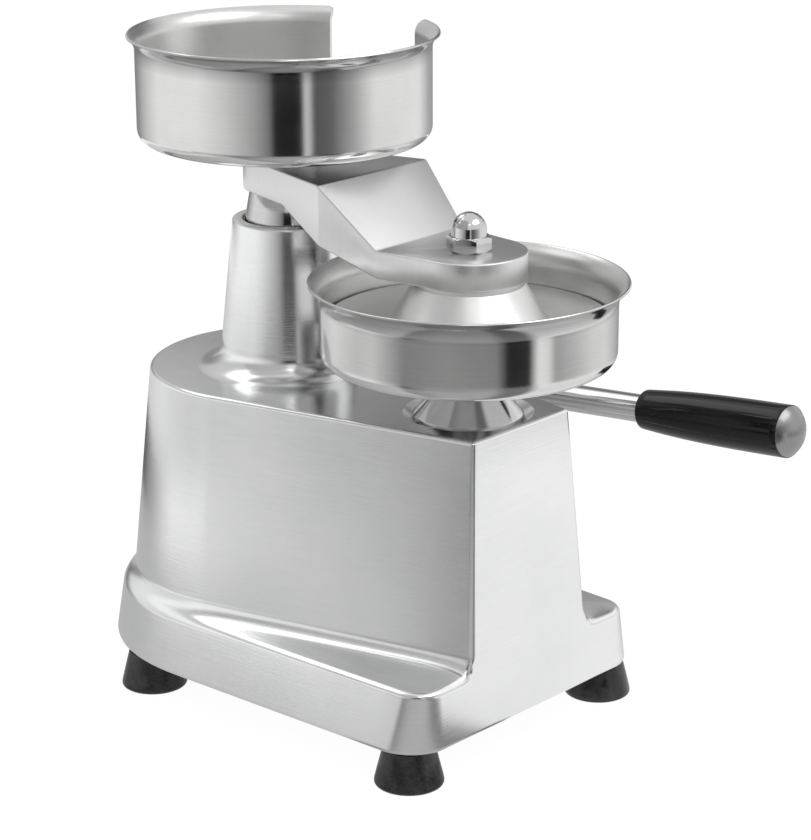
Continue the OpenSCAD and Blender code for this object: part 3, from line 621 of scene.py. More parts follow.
def applied(holder):
    """The plain mesh that an object's modifier makes; the object itself goes."""
    bpy.context.view_layer.update()
    made = bpy.data.meshes.new_from_object(
        holder.evaluated_get(bpy.context.evaluated_depsgraph_get()))
    holder.modifiers.clear()
    bpy.data.objects.remove(holder)
    return made


def grown(start, tree, inputs):
    """Runs a Geometry Nodes tree on a mesh and gives the plain mesh that it makes."""
    holder = in_scene("draft", start)
    changer = holder.modifiers.new(tree.name, "NODES")
    changer.node_group = tree
    for item in tree.interface.items_tree:
        if item.in_out == "INPUT" and item.name in inputs:
            changer[item.identifier] = inputs[item.name]
    return applied(holder)


def shaped(mesh, turn=None):
    """Points faces outward, moves the mesh to its place and keeps edges over CREASE crisp."""
    work = bmesh.new()
    work.from_mesh(mesh)
    if turn is not None:
        work.transform(turn)
    bmesh.ops.recalc_face_normals(work, faces=work.faces)
    for face in work.faces:
        face.smooth = True
        face.material_index = 0
    work.to_mesh(mesh)
    work.free()
    mesh.set_sharp_from_angle(angle=math.radians(CREASE))
    return mesh


def piece(name, mesh, body, slot, *nodes):
    """A finished piece: its finish, the body it rides on and the nodes it stands for."""
    made = in_scene(name, mesh)
    mesh.materials.clear()
    mesh.materials.append(FINISHES[slot])
    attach(made, body)
    if nodes:
        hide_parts(*nodes)
    print("%s: %d faces" % (name, len(mesh.polygons)))


# %% Sections
SIDE_SHARE = 0.49


def rounded(corners, steps=3):
    """A section (radius, height, rounding) with its corners rounded.

    A rounding takes no more than a share of a side, so that it never meets the next one.
    """
    points = []
    last = len(corners) - 1
    for i, (r, z, soft) in enumerate(corners):
        here = Vector((r, z))
        if soft <= 0 or i in (0, last):
            points.append(here)
            continue
        before = Vector(corners[i - 1][:2]) - here
        after = Vector(corners[i + 1][:2]) - here
        half = before.angle(after) / 2
        cut = min(soft / math.tan(half), before.length * SIDE_SHARE, after.length * SIDE_SHARE)
        radius = cut * math.tan(half)
        a, b = before.normalized(), after.normalized()
        centre = here + (a + b).normalized() * radius / math.sin(half)
        start, end = here + a * cut - centre, here + b * cut - centre
        for k in range(steps + 1):
            t = k / steps
            points.append(centre + (start * (1 - t) + end * t).normalized() * radius)
    return points


def arc(x, z, radius, start, end, steps):
    """Corners on an arc between two angles, none of them rounded further."""
    turns = [math.radians(start + (end - start) * k / steps) for k in range(steps + 1)]
    return [(x + radius * math.cos(t), z + radius * math.sin(t), 0) for t in turns]


def turned(section, segments, turn, slot, lip=0):
    """A turned mesh from a section in millimetres, moved to its place by a matrix, if any.

    The distance along the section counts from its first point, or from a bowl's lip.
    """
    mesh = bpy.data.meshes.new("section")
    mesh.from_pydata([(p[0] * MM, 0, p[1] * MM) for p in section],
                     [(i, i + 1) for i in range(len(section) - 1)], [])
    run = [0.0]
    for a, b in zip(section, section[1:]):
        run.append(run[-1] + (Vector(b[:2]) - Vector(a[:2])).length * MM)
    run = [length - run[lip] for length in run]
    mesh.attributes.new(ALONG, "FLOAT", "POINT").data.foreach_set("value", run)
    made = grown(mesh, TURNING, {"Segments": segments, "Finish": FINISHES[slot]})
    return shaped(made, turn)


def turned_piece(name, section, segments, place, body, slot, node, lip=0):
    """A finished piece that is turned whole and stands for one node."""
    piece(name, turned(section, segments, place, slot, lip), body, slot, node)


AT_PRESS = Matrix.Translation(row(0, 0, 0))
AT_COLUMN = Matrix.Translation(row(0, column_y, 0))

# %% [markdown]
# ## The two bowls
# Both bowls are spun from sheet 1.2 mm thick: a flat floor, a rounded corner, an upright wall
# and a rim that flares outward. The section follows both faces of the sheet, and the lip is
# rounded so that it catches a thin bright line. The upper bowl has a slot for the fingers, cut
# with an exact boolean, because a spun sheet is cut the same way.

# %% Bowl sections
SHEET, LIP_SHARE, FLARE_STEPS = 1.2, 0.45, 14
BOWL_SEGMENTS, RIM_Z = 192, 290


def bowl_section(hole, floor, wall, rim, top, corner, flare):
    """Both faces of a sheet bowl: out from the hole, up, round the lip and back."""
    run = rim - wall
    bend = (run * run + flare * flare) / (2 * run)
    turn = math.degrees(math.asin(flare / bend))
    centre = top - (bend + SHEET) * math.sin(math.radians(turn))
    outer = arc(wall + bend, centre, bend, 180, 180 - turn, FLARE_STEPS)
    inner = arc(wall + bend, centre, bend + SHEET, 180 - turn, 180, FLARE_STEPS)
    outer[-1] = (*outer[-1][:2], SHEET * LIP_SHARE)
    inner[0] = (*inner[0][:2], SHEET * LIP_SHARE)
    flat, low, high = wall - corner - 3, floor + corner + 2, centre - 1
    corners = ([(hole, floor, 0), (flat, floor, 0)]
               + arc(wall - corner, floor + corner, corner, -90, 0, 10)
               + [(wall, low, 0), (wall, high, 0)] + outer
               + inner + [(wall - SHEET, high, 0), (wall - SHEET, low, 0)]
               + arc(wall - corner, floor + corner, corner - SHEET, 0, -90, 8)
               + [(flat, floor + SHEET, 0), (hole, floor + SHEET, 0), (hole, floor, 0)])
    return rounded(corners)


lower = bowl_section(11, 164.2, 62.2, 67.3, 199.1, 5.5, 9)
turned_piece("forming_bowl_spun", lower, BOWL_SEGMENTS, AT_PRESS, "stand", "polished_stainless",
             "forming_bowl", len(lower) // 2)
upper = bowl_section(4, 243.3, 64, 67.6, RIM_Z, 6, 6)
paper_bowl = turned(upper, BOWL_SEGMENTS, AT_COLUMN, "polished_stainless", len(upper) // 2)

# %% Finger slot of the upper bowl
SLOT_W, SLOT_FLOOR, SLOT_R, SLOT_TURN = 50, 253.3, 4.5, 2.3
SLOT_NEAR, SLOT_FAR, SLOT_TOP = 30, 80, 300
half = SLOT_W / 2


def slot_corner(y, z, start, end):
    return [p[:2] for p in arc(y, z, SLOT_R, start, end, 8)]


slot_outline = (slot_corner(SLOT_R - half, SLOT_FLOOR + SLOT_R, 180, 270)
                + slot_corner(half - SLOT_R, SLOT_FLOOR + SLOT_R, 270, 360)
                + slot_corner(half + SLOT_R, RIM_Z - SLOT_R, 180, 90)
                + [(half + SLOT_R, SLOT_TOP), (-half - SLOT_R, SLOT_TOP)]
                + slot_corner(-half - SLOT_R, RIM_Z - SLOT_R, 90, 0))


def cut_by(mesh, outline, near, far, turn):
    """Cuts a prism, drawn in Y and Z and running from near to far along X, out of a mesh."""
    count = len(outline)
    ends = [range(count), range(count, 2 * count)]
    tool_mesh = bpy.data.meshes.new("slot_tool")
    tool_mesh.from_pydata([(x * MM, y * MM, z * MM) for x in (near, far) for y, z in outline], [],
                          ends + ring_faces(count))
    tool = in_scene("slot_tool", shaped(tool_mesh, turn))
    blank = in_scene("slot_blank", mesh)
    cutter = blank.modifiers.new("slot", "BOOLEAN")
    cutter.operation, cutter.solver, cutter.object = "DIFFERENCE", "EXACT", tool
    result = applied(blank)
    bpy.data.objects.remove(tool)
    return result


slot_place = AT_COLUMN @ Matrix.Rotation(math.radians(SLOT_TURN), 4, "Z")
slotted = cut_by(paper_bowl, slot_outline, SLOT_NEAR, SLOT_FAR, slot_place)
piece("paper_bowl_spun", shaped(slotted), "arm", "polished_stainless", "paper_bowl")

# %% [markdown]
# ## Plate, support and handle
# The plate that presses the meat is turned from one blank: a flat disc and a wide cone that the
# arm sits on. Below the bowl stands a chromed cone. The chromed column carries the arm and the
# upper bowl, and turns in the housing. The handle is a chromed rod with a black grip that swells
# to its end, closed by a domed cap.

# %% Plate and support
plate = rounded([(0, 179.5, 0), (60.1, 179.5, 0.5), (60.1, 182.4, 0.8), (33.0, 182.4, 1.6),
                 (23.4, 197.7, 0.4), (23.4, 199.7, 0.4), (0, 199.7, 0)])
turned_piece("press_plate_turned", plate, 160, AT_PRESS, "arm", "satin_plate", "press_plate")
support = rounded([(8, 129.7, 0), (11.5, 129.7, 0.5), (11.5, 139.3, 0), (22.3, 139.3, 0),
                   (22.3, 139.8, 0), (23.3, 139.8, 0.3), (23.3, 141.3, 0.5), (14.0, 152.3, 2.0),
                   (14.0, 164.2, 0), (11.0, 164.2, 0), (11.0, 165.4, 0.2), (8, 165.4, 0),
                   (8, 129.7, 0)])
turned_piece("bowl_support_turned", support, 128, AT_PRESS, "stand", "chromed_steel",
             "bowl_support")

# %% Column
COLUMN_R, JOURNAL_R, SPIGOT_R, THREAD_R, THREAD_L = 15, 10, 12, 4, 16
CONE_FOOT_R, CONE_TOP_R, CONE_Z, HEEL_T, PASS_GAP = 18.7, 15.8, 206.0, 14.5, 0.3
column_low, column_top = (corner.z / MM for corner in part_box("column"))
shoulder_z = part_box("column_yoke")[1].z / MM + PASS_GAP
heel_z = column_top - HEEL_T
column = rounded([(0, column_low, 0), (JOURNAL_R, column_low, 0.5), (JOURNAL_R, shoulder_z, 0),
                  (COLUMN_R, shoulder_z, 0.6), (COLUMN_R, CONE_Z, 0), (CONE_FOOT_R, CONE_Z, 0.4),
                  (CONE_TOP_R, heel_z, 0.2), (SPIGOT_R, heel_z, 0), (SPIGOT_R, column_top, 0.3),
                  (THREAD_R, column_top, 0.2), (THREAD_R, column_top - THREAD_L, 0),
                  (0, column_top - THREAD_L, 0)])
turned_piece("column_turned", column, 96, AT_COLUMN, "arm", "chromed_steel", "column")

# %% Handle
HANDLE_TILT = 4.93
handle_x = (middle("handle_rod").x - press_axis.x) / MM
ON_HANDLE = (Matrix.Translation(row(handle_x, shaft_y, shaft_z))
             @ Matrix.Rotation(math.radians(90 - HANDLE_TILT), 4, "X"))
ROD_R, ROD_START, ROD_END = 6.4, 14, 202.5
rod = rounded([(0, ROD_START, 0), (ROD_R, ROD_START, 0.3), (ROD_R, ROD_END, 0.3), (0, ROD_END, 0)])
turned_piece("handle_rod_turned", rod, 64, ON_HANDLE, "lever", "chromed_steel", "handle_rod")
GRIP_START, GRIP_END, ROOT_R, END_R = 142.5, 221.5, 9.1, 11.7
SWELL_STEPS, SWELL_START, SWELL_END = 24, 1.5, 0.4
swell_run = GRIP_END - GRIP_START - SWELL_START - SWELL_END
swell = [(ROOT_R + (END_R - ROOT_R) * (1 - (1 - t) ** 3),
          GRIP_START + SWELL_START + swell_run * t, 0)
         for t in [k / SWELL_STEPS for k in range(1, SWELL_STEPS)]]
grip = rounded([(ROD_R, GRIP_START, 0), (ROOT_R, GRIP_START, 1.4)] + swell
               + [(END_R, GRIP_END, 0.5), (0, GRIP_END, 0), (0, ROD_END, 0), (ROD_R, ROD_END, 0),
                  (ROD_R, GRIP_START, 0)])
turned_piece("handle_grip_moulded", grip, 96, ON_HANDLE, "lever", "black_grip", "handle_grip")
CAP_R, CAP_BALL, CAP_MID = 11.3, 14.36, 212.64
cap_turn = math.degrees(math.acos(CAP_R / CAP_BALL))
cap = rounded([(0, GRIP_END, 0)] + arc(0, CAP_MID, CAP_BALL, cap_turn, 90, 14))
turned_piece("grip_end_cap_turned", cap, 96, ON_HANDLE, "lever", "bright_steel", "grip_end_cap")

# %% [markdown]
# ## Feet
# Four rubber cones carry the press. They are the same piece four times, so a Geometry Nodes tree
# stands one turned foot on each of four points, as the real ones are screwed to four bosses.

# %% Standing one piece on many places
FOOT_PLACES = [(-62.2, -22.6), (62.2, -22.6), (-64.4, 131.0), (64.4, 131.0)]


def standing_tree():
    tree, put, out = group_tree(
        "piece_on_places", "GeometryNodeTree",
        [("Places", GEOMETRY), ("Piece", "NodeSocketObject"), ("Finish", FINISH)],
        [("Pieces", GEOMETRY)])
    info = add(tree, "GeometryNodeObjectInfo", {"Object": put.outputs["Piece"]})
    many = add(tree, "GeometryNodeInstanceOnPoints",
               {"Points": put.outputs["Places"], "Instance": info.outputs["Geometry"]})
    return end_tree(tree, many.outputs[0], put, out)


STANDING = standing_tree()


def on_places(mesh, places, slot):
    """One mesh that holds the same piece on each place, given in millimetres."""
    model = in_scene("model_piece", mesh)
    points = bpy.data.meshes.new("places")
    points.from_pydata([row(x, y, 0) for x, y in places], [], [])
    made = grown(points, STANDING, {"Piece": model, "Finish": FINISHES[slot]})
    bpy.data.objects.remove(model)
    return shaped(made)


foot = rounded([(2.5, 16.3, 0), (2.5, 8, 0), (5.6, 8, 0.3), (5.6, 0, 0.3), (14.8, 0, 1.5),
                (14.5, 2.2, 0.8), (11.0, 16.3, 0.3), (2.5, 16.3, 0)], steps=4)
foot_mesh = turned(foot, 64, None, "black_rubber")
piece("rubber_feet", on_places(foot_mesh, FOOT_PLACES, "black_rubber"), "stand", "black_rubber",
      "foot_front_left", "foot_front_right", "foot_rear_left", "foot_rear_right")

# %% [markdown]
# ## The housing
# The housing is one casting: a tapered block with a round rear, on a flange whose corners are
# rounded. What makes it look cast is that no edge is sharp: edges are rounded, and the inner
# corner above the flange is filled. Bevels cope badly where such edges meet. Here the shape is
# one distance field instead, made of flat and round walls joined by rounded corners. A grid of
# points is laid over the sharp shape, dense near its edges, and each point slides onto the
# field's surface. The field also gives the exact normals, so the shading is clean.

# %% Sizes of the housing
TOP_Z, WAIST_Z, FLANGE_Z, FOOT_Z, CEILING_Z = 141.7, 46.0, 42.5, 16.3, 136.7
REAR_Y, TOP_REACH, DRAFT, WALL = 108.4, 29.7, 0.0598, 5.0
TOP_R, WAIST_R, TOP_HALF, WAIST_HALF = 60.3, 70.2, 30.3, 37.1
BASE_R, EDGE_R, BASE_HALF, EDGE_HALF = 79.4, 75.2, 75.0, 68.8
CORNER_LOW_R, CORNER_HIGH_R = 17.5, 12.0
EDGE_SOFT, TOP_SOFT, INNER_SOFT, FOOT_SOFT = 2.2, 1.5, 5.0, 2.0
TINY = 1e-6


def reach_at(z):
    return TOP_REACH + (TOP_Z - z) * DRAFT


def block_at(z):
    """Rear radius, half front width and corner radius, here none, of the block at a height."""
    t = (TOP_Z - z) / (TOP_Z - WAIST_Z)
    return TOP_R + (WAIST_R - TOP_R) * t, TOP_HALF + (WAIST_HALF - TOP_HALF) * t, 0


def flange_at(z):
    """Rear radius, half front width and corner radius of the flange at a height."""
    t = (FLANGE_Z - z) / (FLANGE_Z - FOOT_Z)
    return (EDGE_R + (BASE_R - EDGE_R) * t, EDGE_HALF + (BASE_HALF - EDGE_HALF) * t,
            CORNER_HIGH_R + (CORNER_LOW_R - CORNER_HIGH_R) * t)


def side_turn(plan, z):
    """Angle of the flat sides, which leave the rear round and touch the front corners."""
    radius, half_w, corner = plan(z)
    x, forward, rest = half_w - corner, reach_at(z) + REAR_Y - corner, radius - corner
    return np.arctan2(x, forward) + np.arccos(rest / np.hypot(x, forward))


# %% Distance to the housing
def join_max(a, b, soft):
    """Overlap of two shapes with its edge rounded."""
    past = np.hypot(np.maximum(a + soft, 0), np.maximum(b + soft, 0))
    return np.minimum(np.maximum(a, b), -soft) + past


def join_min(a, b, soft):
    """Union of two shapes with its inner corner filled."""
    fill = np.hypot(np.maximum(soft - a, 0), np.maximum(soft - b, 0))
    return np.maximum(np.minimum(a, b), soft) - fill


def round_side(plan, x, y, z):
    """Distance outside a rear round and its flat sides."""
    dx, dy, turn = np.abs(x), y - REAR_Y, side_turn(plan, z)
    flat = dx * np.sin(turn) - dy * np.cos(turn)
    ahead = -dx * np.cos(turn) - dy * np.sin(turn)
    return np.where(ahead > 0, flat, np.hypot(dx, dy)) - plan(z)[0]


def front_side(y, z):
    return (-y - reach_at(z)) / math.hypot(1, DRAFT)


def flange_outside(x, y, z):
    return join_max(round_side(flange_at, x, y, z), front_side(y, z), flange_at(z)[2])


def ledge_height(x, y):
    """The ledge rises from the flange's edge to the waist of the block."""
    edge = np.maximum(-flange_outside(x, y, FLANGE_Z), 0)
    side = round_side(block_at, x, y, WAIST_Z)
    block = np.maximum(np.maximum(side, front_side(y, WAIST_Z)), 0)
    return FLANGE_Z + (WAIST_Z - FLANGE_Z) * edge / (edge + block + TINY)


CORNER_X, CORNER_Y = 52, -5
SOFTEN_Z, SOFTEN_RUN = 130, 70


def distance(points):
    """Distance outside the rounded housing, for points in millimetres."""
    x, y, z = points.T
    ledge = z - ledge_height(x, y)
    block = join_max(round_side(block_at, x, y, z), z - TOP_Z, TOP_SOFT)
    shelf = join_max(round_side(flange_at, x, y, z), ledge, EDGE_SOFT)
    soft = TOP_SOFT + (EDGE_SOFT - TOP_SOFT) * np.clip((SOFTEN_Z - z) / SOFTEN_RUN, 0, 1)
    near = join_max(join_min(block, shelf, INNER_SOFT), front_side(y, z), soft)
    corner = join_max(flange_outside(x, y, z), ledge, EDGE_SOFT)
    whole = np.where((np.abs(x) > CORNER_X) & (y < CORNER_Y), corner, near)
    return join_max(whole, FOOT_Z - z, FOOT_SOFT)


def slope(points, step=0.02):
    """Direction in which the distance grows fastest, and how fast."""
    grow = np.empty_like(points)
    for axis in range(3):
        move = np.zeros(3)
        move[axis] = step
        grow[:, axis] = (distance(points + move) - distance(points - move)) / (2 * step)
    return grow


# %% Outlines at a height
NEAR_EDGE = [0, 0.35, 0.7, 1.05, 1.45, 1.9, 2.4, 3.1, 4.0, 5.2, 6.8, 8.8, 11.2, 13.8, 16.2, 18.3]
ARC_RUN = NEAR_EDGE[-1]
SIDE_STEPS, REAR_STEPS = 14, 44
BLOCK_RUN = 26 / ARC_RUN


def outline(plan, z, inset=0.0):
    """Half an outline: front corner, flat side and rear round, always with as many points."""
    radius, half_w, corner = plan(z)
    turn = float(side_turn(plan, z))
    out = np.array((math.sin(turn), -math.cos(turn)))
    radius -= inset
    end = np.array((0, REAR_Y)) + out * radius
    if corner:
        bend = np.array((half_w - corner, corner - reach_at(z)))
        angles = [-math.pi / 2 + turn * run / ARC_RUN for run in NEAR_EDGE]
        points = [bend + (corner - inset) * np.array((math.cos(a), math.sin(a))) for a in angles]
    else:
        start = np.array((half_w - inset * (1 + out[1]) / out[0], inset - reach_at(z)))
        step = (end - start) * BLOCK_RUN / np.linalg.norm(end - start)
        points = [start + step * run for run in NEAR_EDGE]
    here = points[-1]
    points += [here + (end - here) * k / SIDE_STEPS for k in range(1, SIDE_STEPS + 1)]
    first = turn - math.pi / 2
    for k in range(1, REAR_STEPS + 1):
        angle = first + (math.pi / 2 - first) * k / REAR_STEPS
        points.append(np.array((radius * math.cos(angle), REAR_Y + radius * math.sin(angle))))
    return np.array(points)


# %% The grid over the housing
def level(plan, z, inset=0.0):
    """A row of the grid that lies at one height."""
    points = outline(plan, z, inset)
    return np.column_stack([points, np.full(len(points), z)])


TOP_INSETS = [1.8, 1.55, 1.2, 0.8, 0.4, 0]
BLOCK_DROPS = [0.4, 0.8, 1.2, 1.6, 2.2, 4, 8, 16, 28, 40, 52, 64, 74, 82, 86, 88.2, 89.4, 90.5,
               91.5, 92.5, 93.4, 94.3, 95.1]
LEDGE_IN = [0.8, 1.6, 2.5, 3.4, 4.3, 5.3, 6.4]
LEDGE_OUT = [3.4, 2.6, 2.0, 1.5, 1.1, 0.7, 0.35]
LEDGE_FULL, LEDGE_STEPS = 14, 6
FLANGE_DROPS = [0.35, 0.7, 1.1, 1.5, 2.0, 2.6, 3.4, 5, 8, 12, 16, 19.5, 22, 23.4, 24.2, 24.8, 25.3,
                25.75, 26.2]
FOOT_INSETS = [0.45, 0.9, 1.4, 2.0, 2.6]

rows = [level(block_at, TOP_Z, inset) for inset in TOP_INSETS]
rows += [level(block_at, TOP_Z - drop) for drop in BLOCK_DROPS]
WAIST_ROW = len(rows) - 1
inner, outer = outline(block_at, WAIST_Z), outline(flange_at, FLANGE_Z)
width = np.linalg.norm(outer - inner, axis=1)
squeeze = np.minimum(1, width / LEDGE_FULL)
middle_run = width - (LEDGE_IN[-1] + LEDGE_OUT[0]) * squeeze
lay = [np.zeros_like(width)] + [run * squeeze for run in LEDGE_IN]
lay += [LEDGE_IN[-1] * squeeze + middle_run * k / LEDGE_STEPS for k in range(1, LEDGE_STEPS)]
lay += [width - run * squeeze for run in LEDGE_OUT] + [width]
for run in lay:
    share = (run / width)[:, None]
    laid = inner * (1 - share) + outer * share
    rows.append(np.column_stack([laid, ledge_height(laid[:, 0], laid[:, 1])]))
rows += [level(flange_at, FLANGE_Z - drop) for drop in FLANGE_DROPS]
rows += [level(flange_at, FOOT_Z, inset) for inset in FOOT_INSETS]
SKIN_ROWS = len(rows)
rows += [level(flange_at, FOOT_Z, WALL), level(flange_at, FLANGE_Z - WALL, WALL),
         level(block_at, FLANGE_Z - WALL, WALL), level(block_at, CEILING_Z, WALL)]
print("rows:", len(rows), "of which on the skin:", SKIN_ROWS)

# %% The front face
PLAIN_Z, MEET_Z, FAN_Z, LOW_Z = 60, 44, 31, 20
SLIDES, LEAST_SLOPE = 14, 0.2
FRONT_RUN = [0.35, 0.7, 1.05, 1.45, 1.9, 2.4, 3.1, 4.2, 6, 9, 13, 18, 24]


def middle_height(index, point):
    """Height on the middle of the front where a row that starts at the edge ends."""
    x, z = point[0], point[2]
    if index <= WAIST_ROW:
        share = (z - WAIST_Z) / (PLAIN_Z - WAIST_Z)
        return z if z > PLAIN_Z else MEET_Z + (PLAIN_Z - MEET_Z) * share
    if index <= WAIST_ROW + len(lay):
        share = (x - WAIST_HALF) / (EDGE_HALF - CORNER_HIGH_R - WAIST_HALF)
        return MEET_Z + (FAN_Z - MEET_Z) * share
    return z if z < LOW_Z else LOW_Z + (z - LOW_Z) * (FAN_Z - LOW_Z) / (FLANGE_Z - LOW_Z)


grid = []
for index, points in enumerate(rows):
    edge = points[0]
    if index >= SKIN_ROWS or edge[2] in (TOP_Z, FOOT_Z):
        centre = np.array((0, edge[1], edge[2]))
    else:
        height = middle_height(index, edge)
        centre = np.array((0, -reach_at(height), height))
    span = np.linalg.norm(centre - edge)
    shares = [run / span for run in FRONT_RUN] + [1]
    front = [edge + (centre - edge) * share for share in shares]
    grid.append(np.vstack([np.array(front[::-1]), points]))
grid = np.array(grid)
skin = grid[:SKIN_ROWS].reshape(-1, 3).copy()
for _ in range(SLIDES):
    grow = slope(skin)
    skin -= grow * (distance(skin) / np.maximum((grow ** 2).sum(axis=1), LEAST_SLOPE))[:, None]
grid[:SKIN_ROWS] = skin.reshape(SKIN_ROWS, -1, 3)
grid[:, [0, -1], 0] = 0
miss = np.abs(distance(grid[:SKIN_ROWS].reshape(-1, 3)))
print("largest miss after sliding: %.4f mm" % miss.max())

# %% Sewing the housing together
ROUND, SAME_PLACE, HOUSING_CREASE = 96, 0.0005, 40
BORE_R, STEM_R, SEAT_Z = 19.45, 11.55, 139.3
work = bmesh.new()


def ring(radius, z, x, y):
    """A closed ring of points, in millimetres."""
    turns = [2 * math.pi * k / ROUND for k in range(ROUND)]
    return [work.verts.new((x + radius * math.cos(t), y + radius * math.sin(t), z)) for t in turns]


def skin_between(upper_ring, lower_ring):
    """Joins two rings of as many points by a strip of faces."""
    for i in range(len(upper_ring)):
        j = (i + 1) % len(upper_ring)
        work.faces.new((upper_ring[i], upper_ring[j], lower_ring[j], lower_ring[i]))


def sweep(section, x, y, closed=False):
    """Rings of a section, joined; gives the first and the last ring."""
    made = [ring(r, z, x, y) for r, z in section]
    for a, b in zip(made, made[1:]):
        skin_between(a, b)
    if closed:
        skin_between(made[-1], made[0])
    return made[0], made[-1]


loops = []
for line in grid:
    right = [work.verts.new(point) for point in line]
    left = [work.verts.new((-point[0], point[1], point[2])) for point in line[1:-1]]
    loops.append(right + left[::-1])
for a, b in zip(loops, loops[1:]):
    skin_between(a, b)

pillar = ([(42.6, TOP_Z), (41.6, TOP_Z)] + [p[:2] for p in arc(40.8, 152.7, 11, 270, 180, 14)]
          + [(29.72, 153.5), (29.3, 157.3), (24.4, 203), (24.05, 206.3)]
          + [p[:2] for p in arc(22.9, 207.2, 1, 5, 90, 5)]
          + [(20.2, 208.2), (19.85, 208.2), (BORE_R, 207.8), (BORE_R, 206), (BORE_R, 140),
             (BORE_R, CEILING_Z)])
pillar_foot, bore_end = sweep(pillar, 0, column_y)
seat = [(27.85, TOP_Z), (27.6, 141.62), (27.4, 141.45), (23.45, 139.4), (23.1, SEAT_Z),
        (22, SEAT_Z), (STEM_R, SEAT_Z), (STEM_R, CEILING_Z)]
seat_rim, stem_end = sweep(seat, 0, 0)


def fill_flat(rings, up):
    """Fills the flat area between an outer loop and the rings inside it."""
    edges = []
    for loop in rings:
        for i in range(len(loop)):
            a, b = loop[i], loop[(i + 1) % len(loop)]
            edges.append(work.edges.get((a, b)) or work.edges.new((a, b)))
    bmesh.ops.triangle_fill(work, use_beauty=True, edges=edges, normal=(0, 0, up))


fill_flat([loops[0], seat_rim, pillar_foot], 1)
fill_flat([loops[-1], stem_end, bore_end], -1)

# %% Bosses inside and on the side
SHAFT_BORE, BOSS_R, BLIND_SLIDES = 12.05, 17.0, 6
OPEN_BOSS, BLIND_BOSS = (41, 63.2, 1.0), (-64.5, -36, 0.4)
FOOT_BORE, FOOT_BOSS_R, FOOT_BOSS_TOP, FOOT_BOSS_EASE = 2.6, 8, 34.3, 0.4


def boss_along_x(inner_x, outer_x, soft):
    """A bored boss round the shaft, from one X to another, as a closed shell of its own."""
    before = set(work.verts)
    section = rounded([(SHAFT_BORE, inner_x, 0), (BOSS_R, inner_x, 0.4), (BOSS_R, outer_x, soft),
                       (SHAFT_BORE, outer_x, 0.3), (SHAFT_BORE, (inner_x + outer_x) / 2, 0)])
    sweep([tuple(p) for p in section], 0, 0, closed=True)
    moved = [v for v in work.verts if v not in before]
    turn = Matrix.Translation((0, shaft_y, shaft_z)) @ Matrix.Rotation(math.pi / 2, 4, "Y")
    bmesh.ops.transform(work, matrix=turn, verts=moved)
    return moved


boss_along_x(*OPEN_BOSS)
blind = boss_along_x(*BLIND_BOSS)
for _ in range(BLIND_SLIDES):
    spots = np.array([v.co for v in blind])
    outside = np.maximum(distance(spots) + WALL / 2, 0)
    for v, grow, far in zip(blind, slope(spots), outside):
        v.co -= Vector(grow * far)
foot_boss = [(FOOT_BORE, FOOT_Z), (FOOT_BOSS_R, FOOT_Z),
             (FOOT_BOSS_R, FOOT_BOSS_TOP - FOOT_BOSS_EASE),
             (FOOT_BOSS_R - FOOT_BOSS_EASE, FOOT_BOSS_TOP), (FOOT_BORE, FOOT_BOSS_TOP)]
for x, y in FOOT_PLACES:
    sweep(foot_boss, x, y, closed=True)

bmesh.ops.remove_doubles(work, verts=work.verts, dist=SAME_PLACE)
bmesh.ops.dissolve_degenerate(work, dist=SAME_PLACE, edges=work.edges)
bmesh.ops.recalc_face_normals(work, faces=work.faces)
open_edges = sum(1 for edge in work.edges if len(edge.link_faces) != 2)
print("housing: %d faces, %d edges not shared by two" % (len(work.faces), open_edges))
for face in work.faces:
    face.smooth = True
housing = bpy.data.meshes.new("housing")
work.to_mesh(housing)
work.free()
housing.set_sharp_from_angle(angle=math.radians(HOUSING_CREASE))

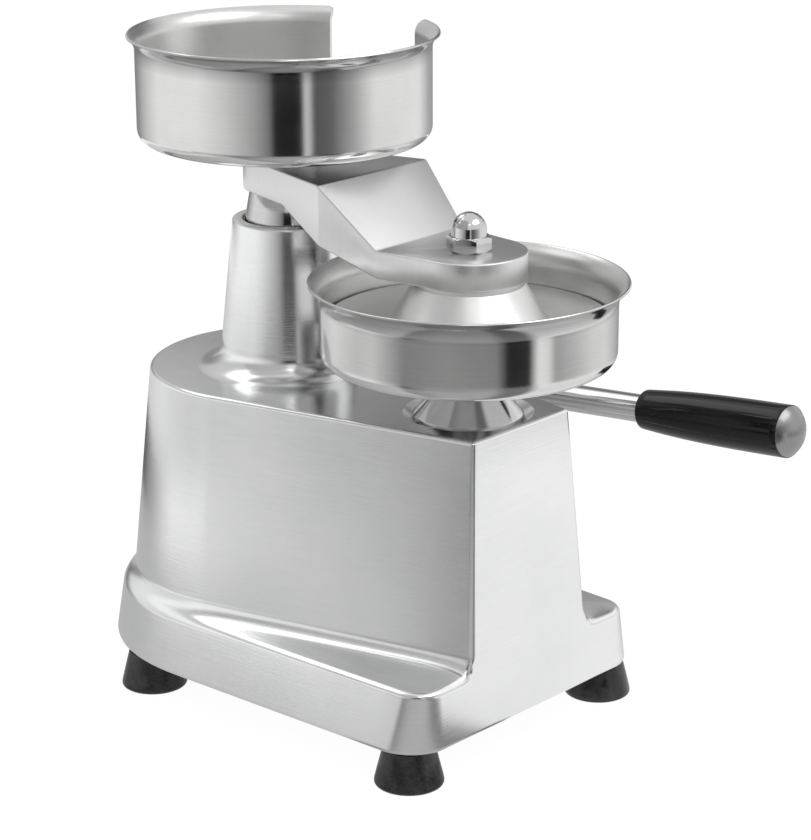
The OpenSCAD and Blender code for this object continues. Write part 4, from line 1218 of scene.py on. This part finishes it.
# %% Exact normals, then into place
ON_SKIN, AGREES = 0.004, 0.8
spots = np.empty(len(housing.vertices) * 3)
housing.vertices.foreach_get("co", spots)
spots = spots.reshape(-1, 3)
on_skin = np.abs(distance(spots)) < ON_SKIN
lean = slope(spots)
lean /= np.maximum(np.linalg.norm(lean, axis=1), TINY)[:, None]
flats = np.array([p.normal for p in housing.polygons])
normals = []
for face in housing.polygons:
    agrees = all(on_skin[v] and flats[face.index] @ lean[v] > AGREES for v in face.vertices)
    for v in face.vertices:
        normals.append(tuple(lean[v]) if agrees else (0, 0, 0))
housing.normals_split_custom_set(normals)
housing.transform(AT_PRESS @ Matrix.Scale(MM, 4))
piece("housing_cast", housing, "stand", "cast_body", "body_casting")

# %% [markdown]
# ## Arm, hub and the parts that keep their construction shape
# Folded, milled and hexagonal parts already have the right shape in the construction model. What
# they lack is the small rounding of every real edge, which is what catches the light. A copy of
# each is cleaned of its extra edges and bevelled. Parts that are hardly seen keep their
# construction mesh and only get their finish.

# %% Softened copies
SAME_POINT, SAME_FLAT, SHARP = 0.000002, math.radians(0.4), math.radians(28)


def softened(node, name, body, slot, width):
    """A copy of a construction node with its sharp edges bevelled by a width in millimetres."""
    work = bmesh.new()
    work.from_mesh(frame["nodes"][node].data)
    bmesh.ops.remove_doubles(work, verts=work.verts, dist=SAME_POINT)
    bmesh.ops.dissolve_limit(work, angle_limit=SAME_FLAT, verts=work.verts, edges=work.edges)
    sharp = [e for e in work.edges if len(e.link_faces) == 2 and e.calc_face_angle(0) > SHARP]
    bmesh.ops.bevel(work, geom=sharp, offset=width * MM, segments=3, profile=0.5, affect="EDGES",
                    clamp_overlap=True)
    mesh = bpy.data.meshes.new(name)
    work.to_mesh(mesh)
    work.free()
    piece(name, shaped(mesh), body, slot, node)


softened("swing_arm", "swing_arm_folded", "arm", "satin_arm", 0.7)
softened("handle_hub", "handle_hub_cast", "lever", "chromed_steel", 0.6)
softened("acorn_nut", "acorn_nut_turned", "arm", "chromed_steel", 0.35)

# %% Finishes for the nodes that stay
given = {part["node"]: part["material_slot"] for part in frame["record"]["subparts"]}
for name, node in frame["nodes"].items():
    node.data.materials.clear()
    node.data.materials.append(FINISHES[given[name]])
print("construction nodes with a finish:", len(frame["nodes"]))
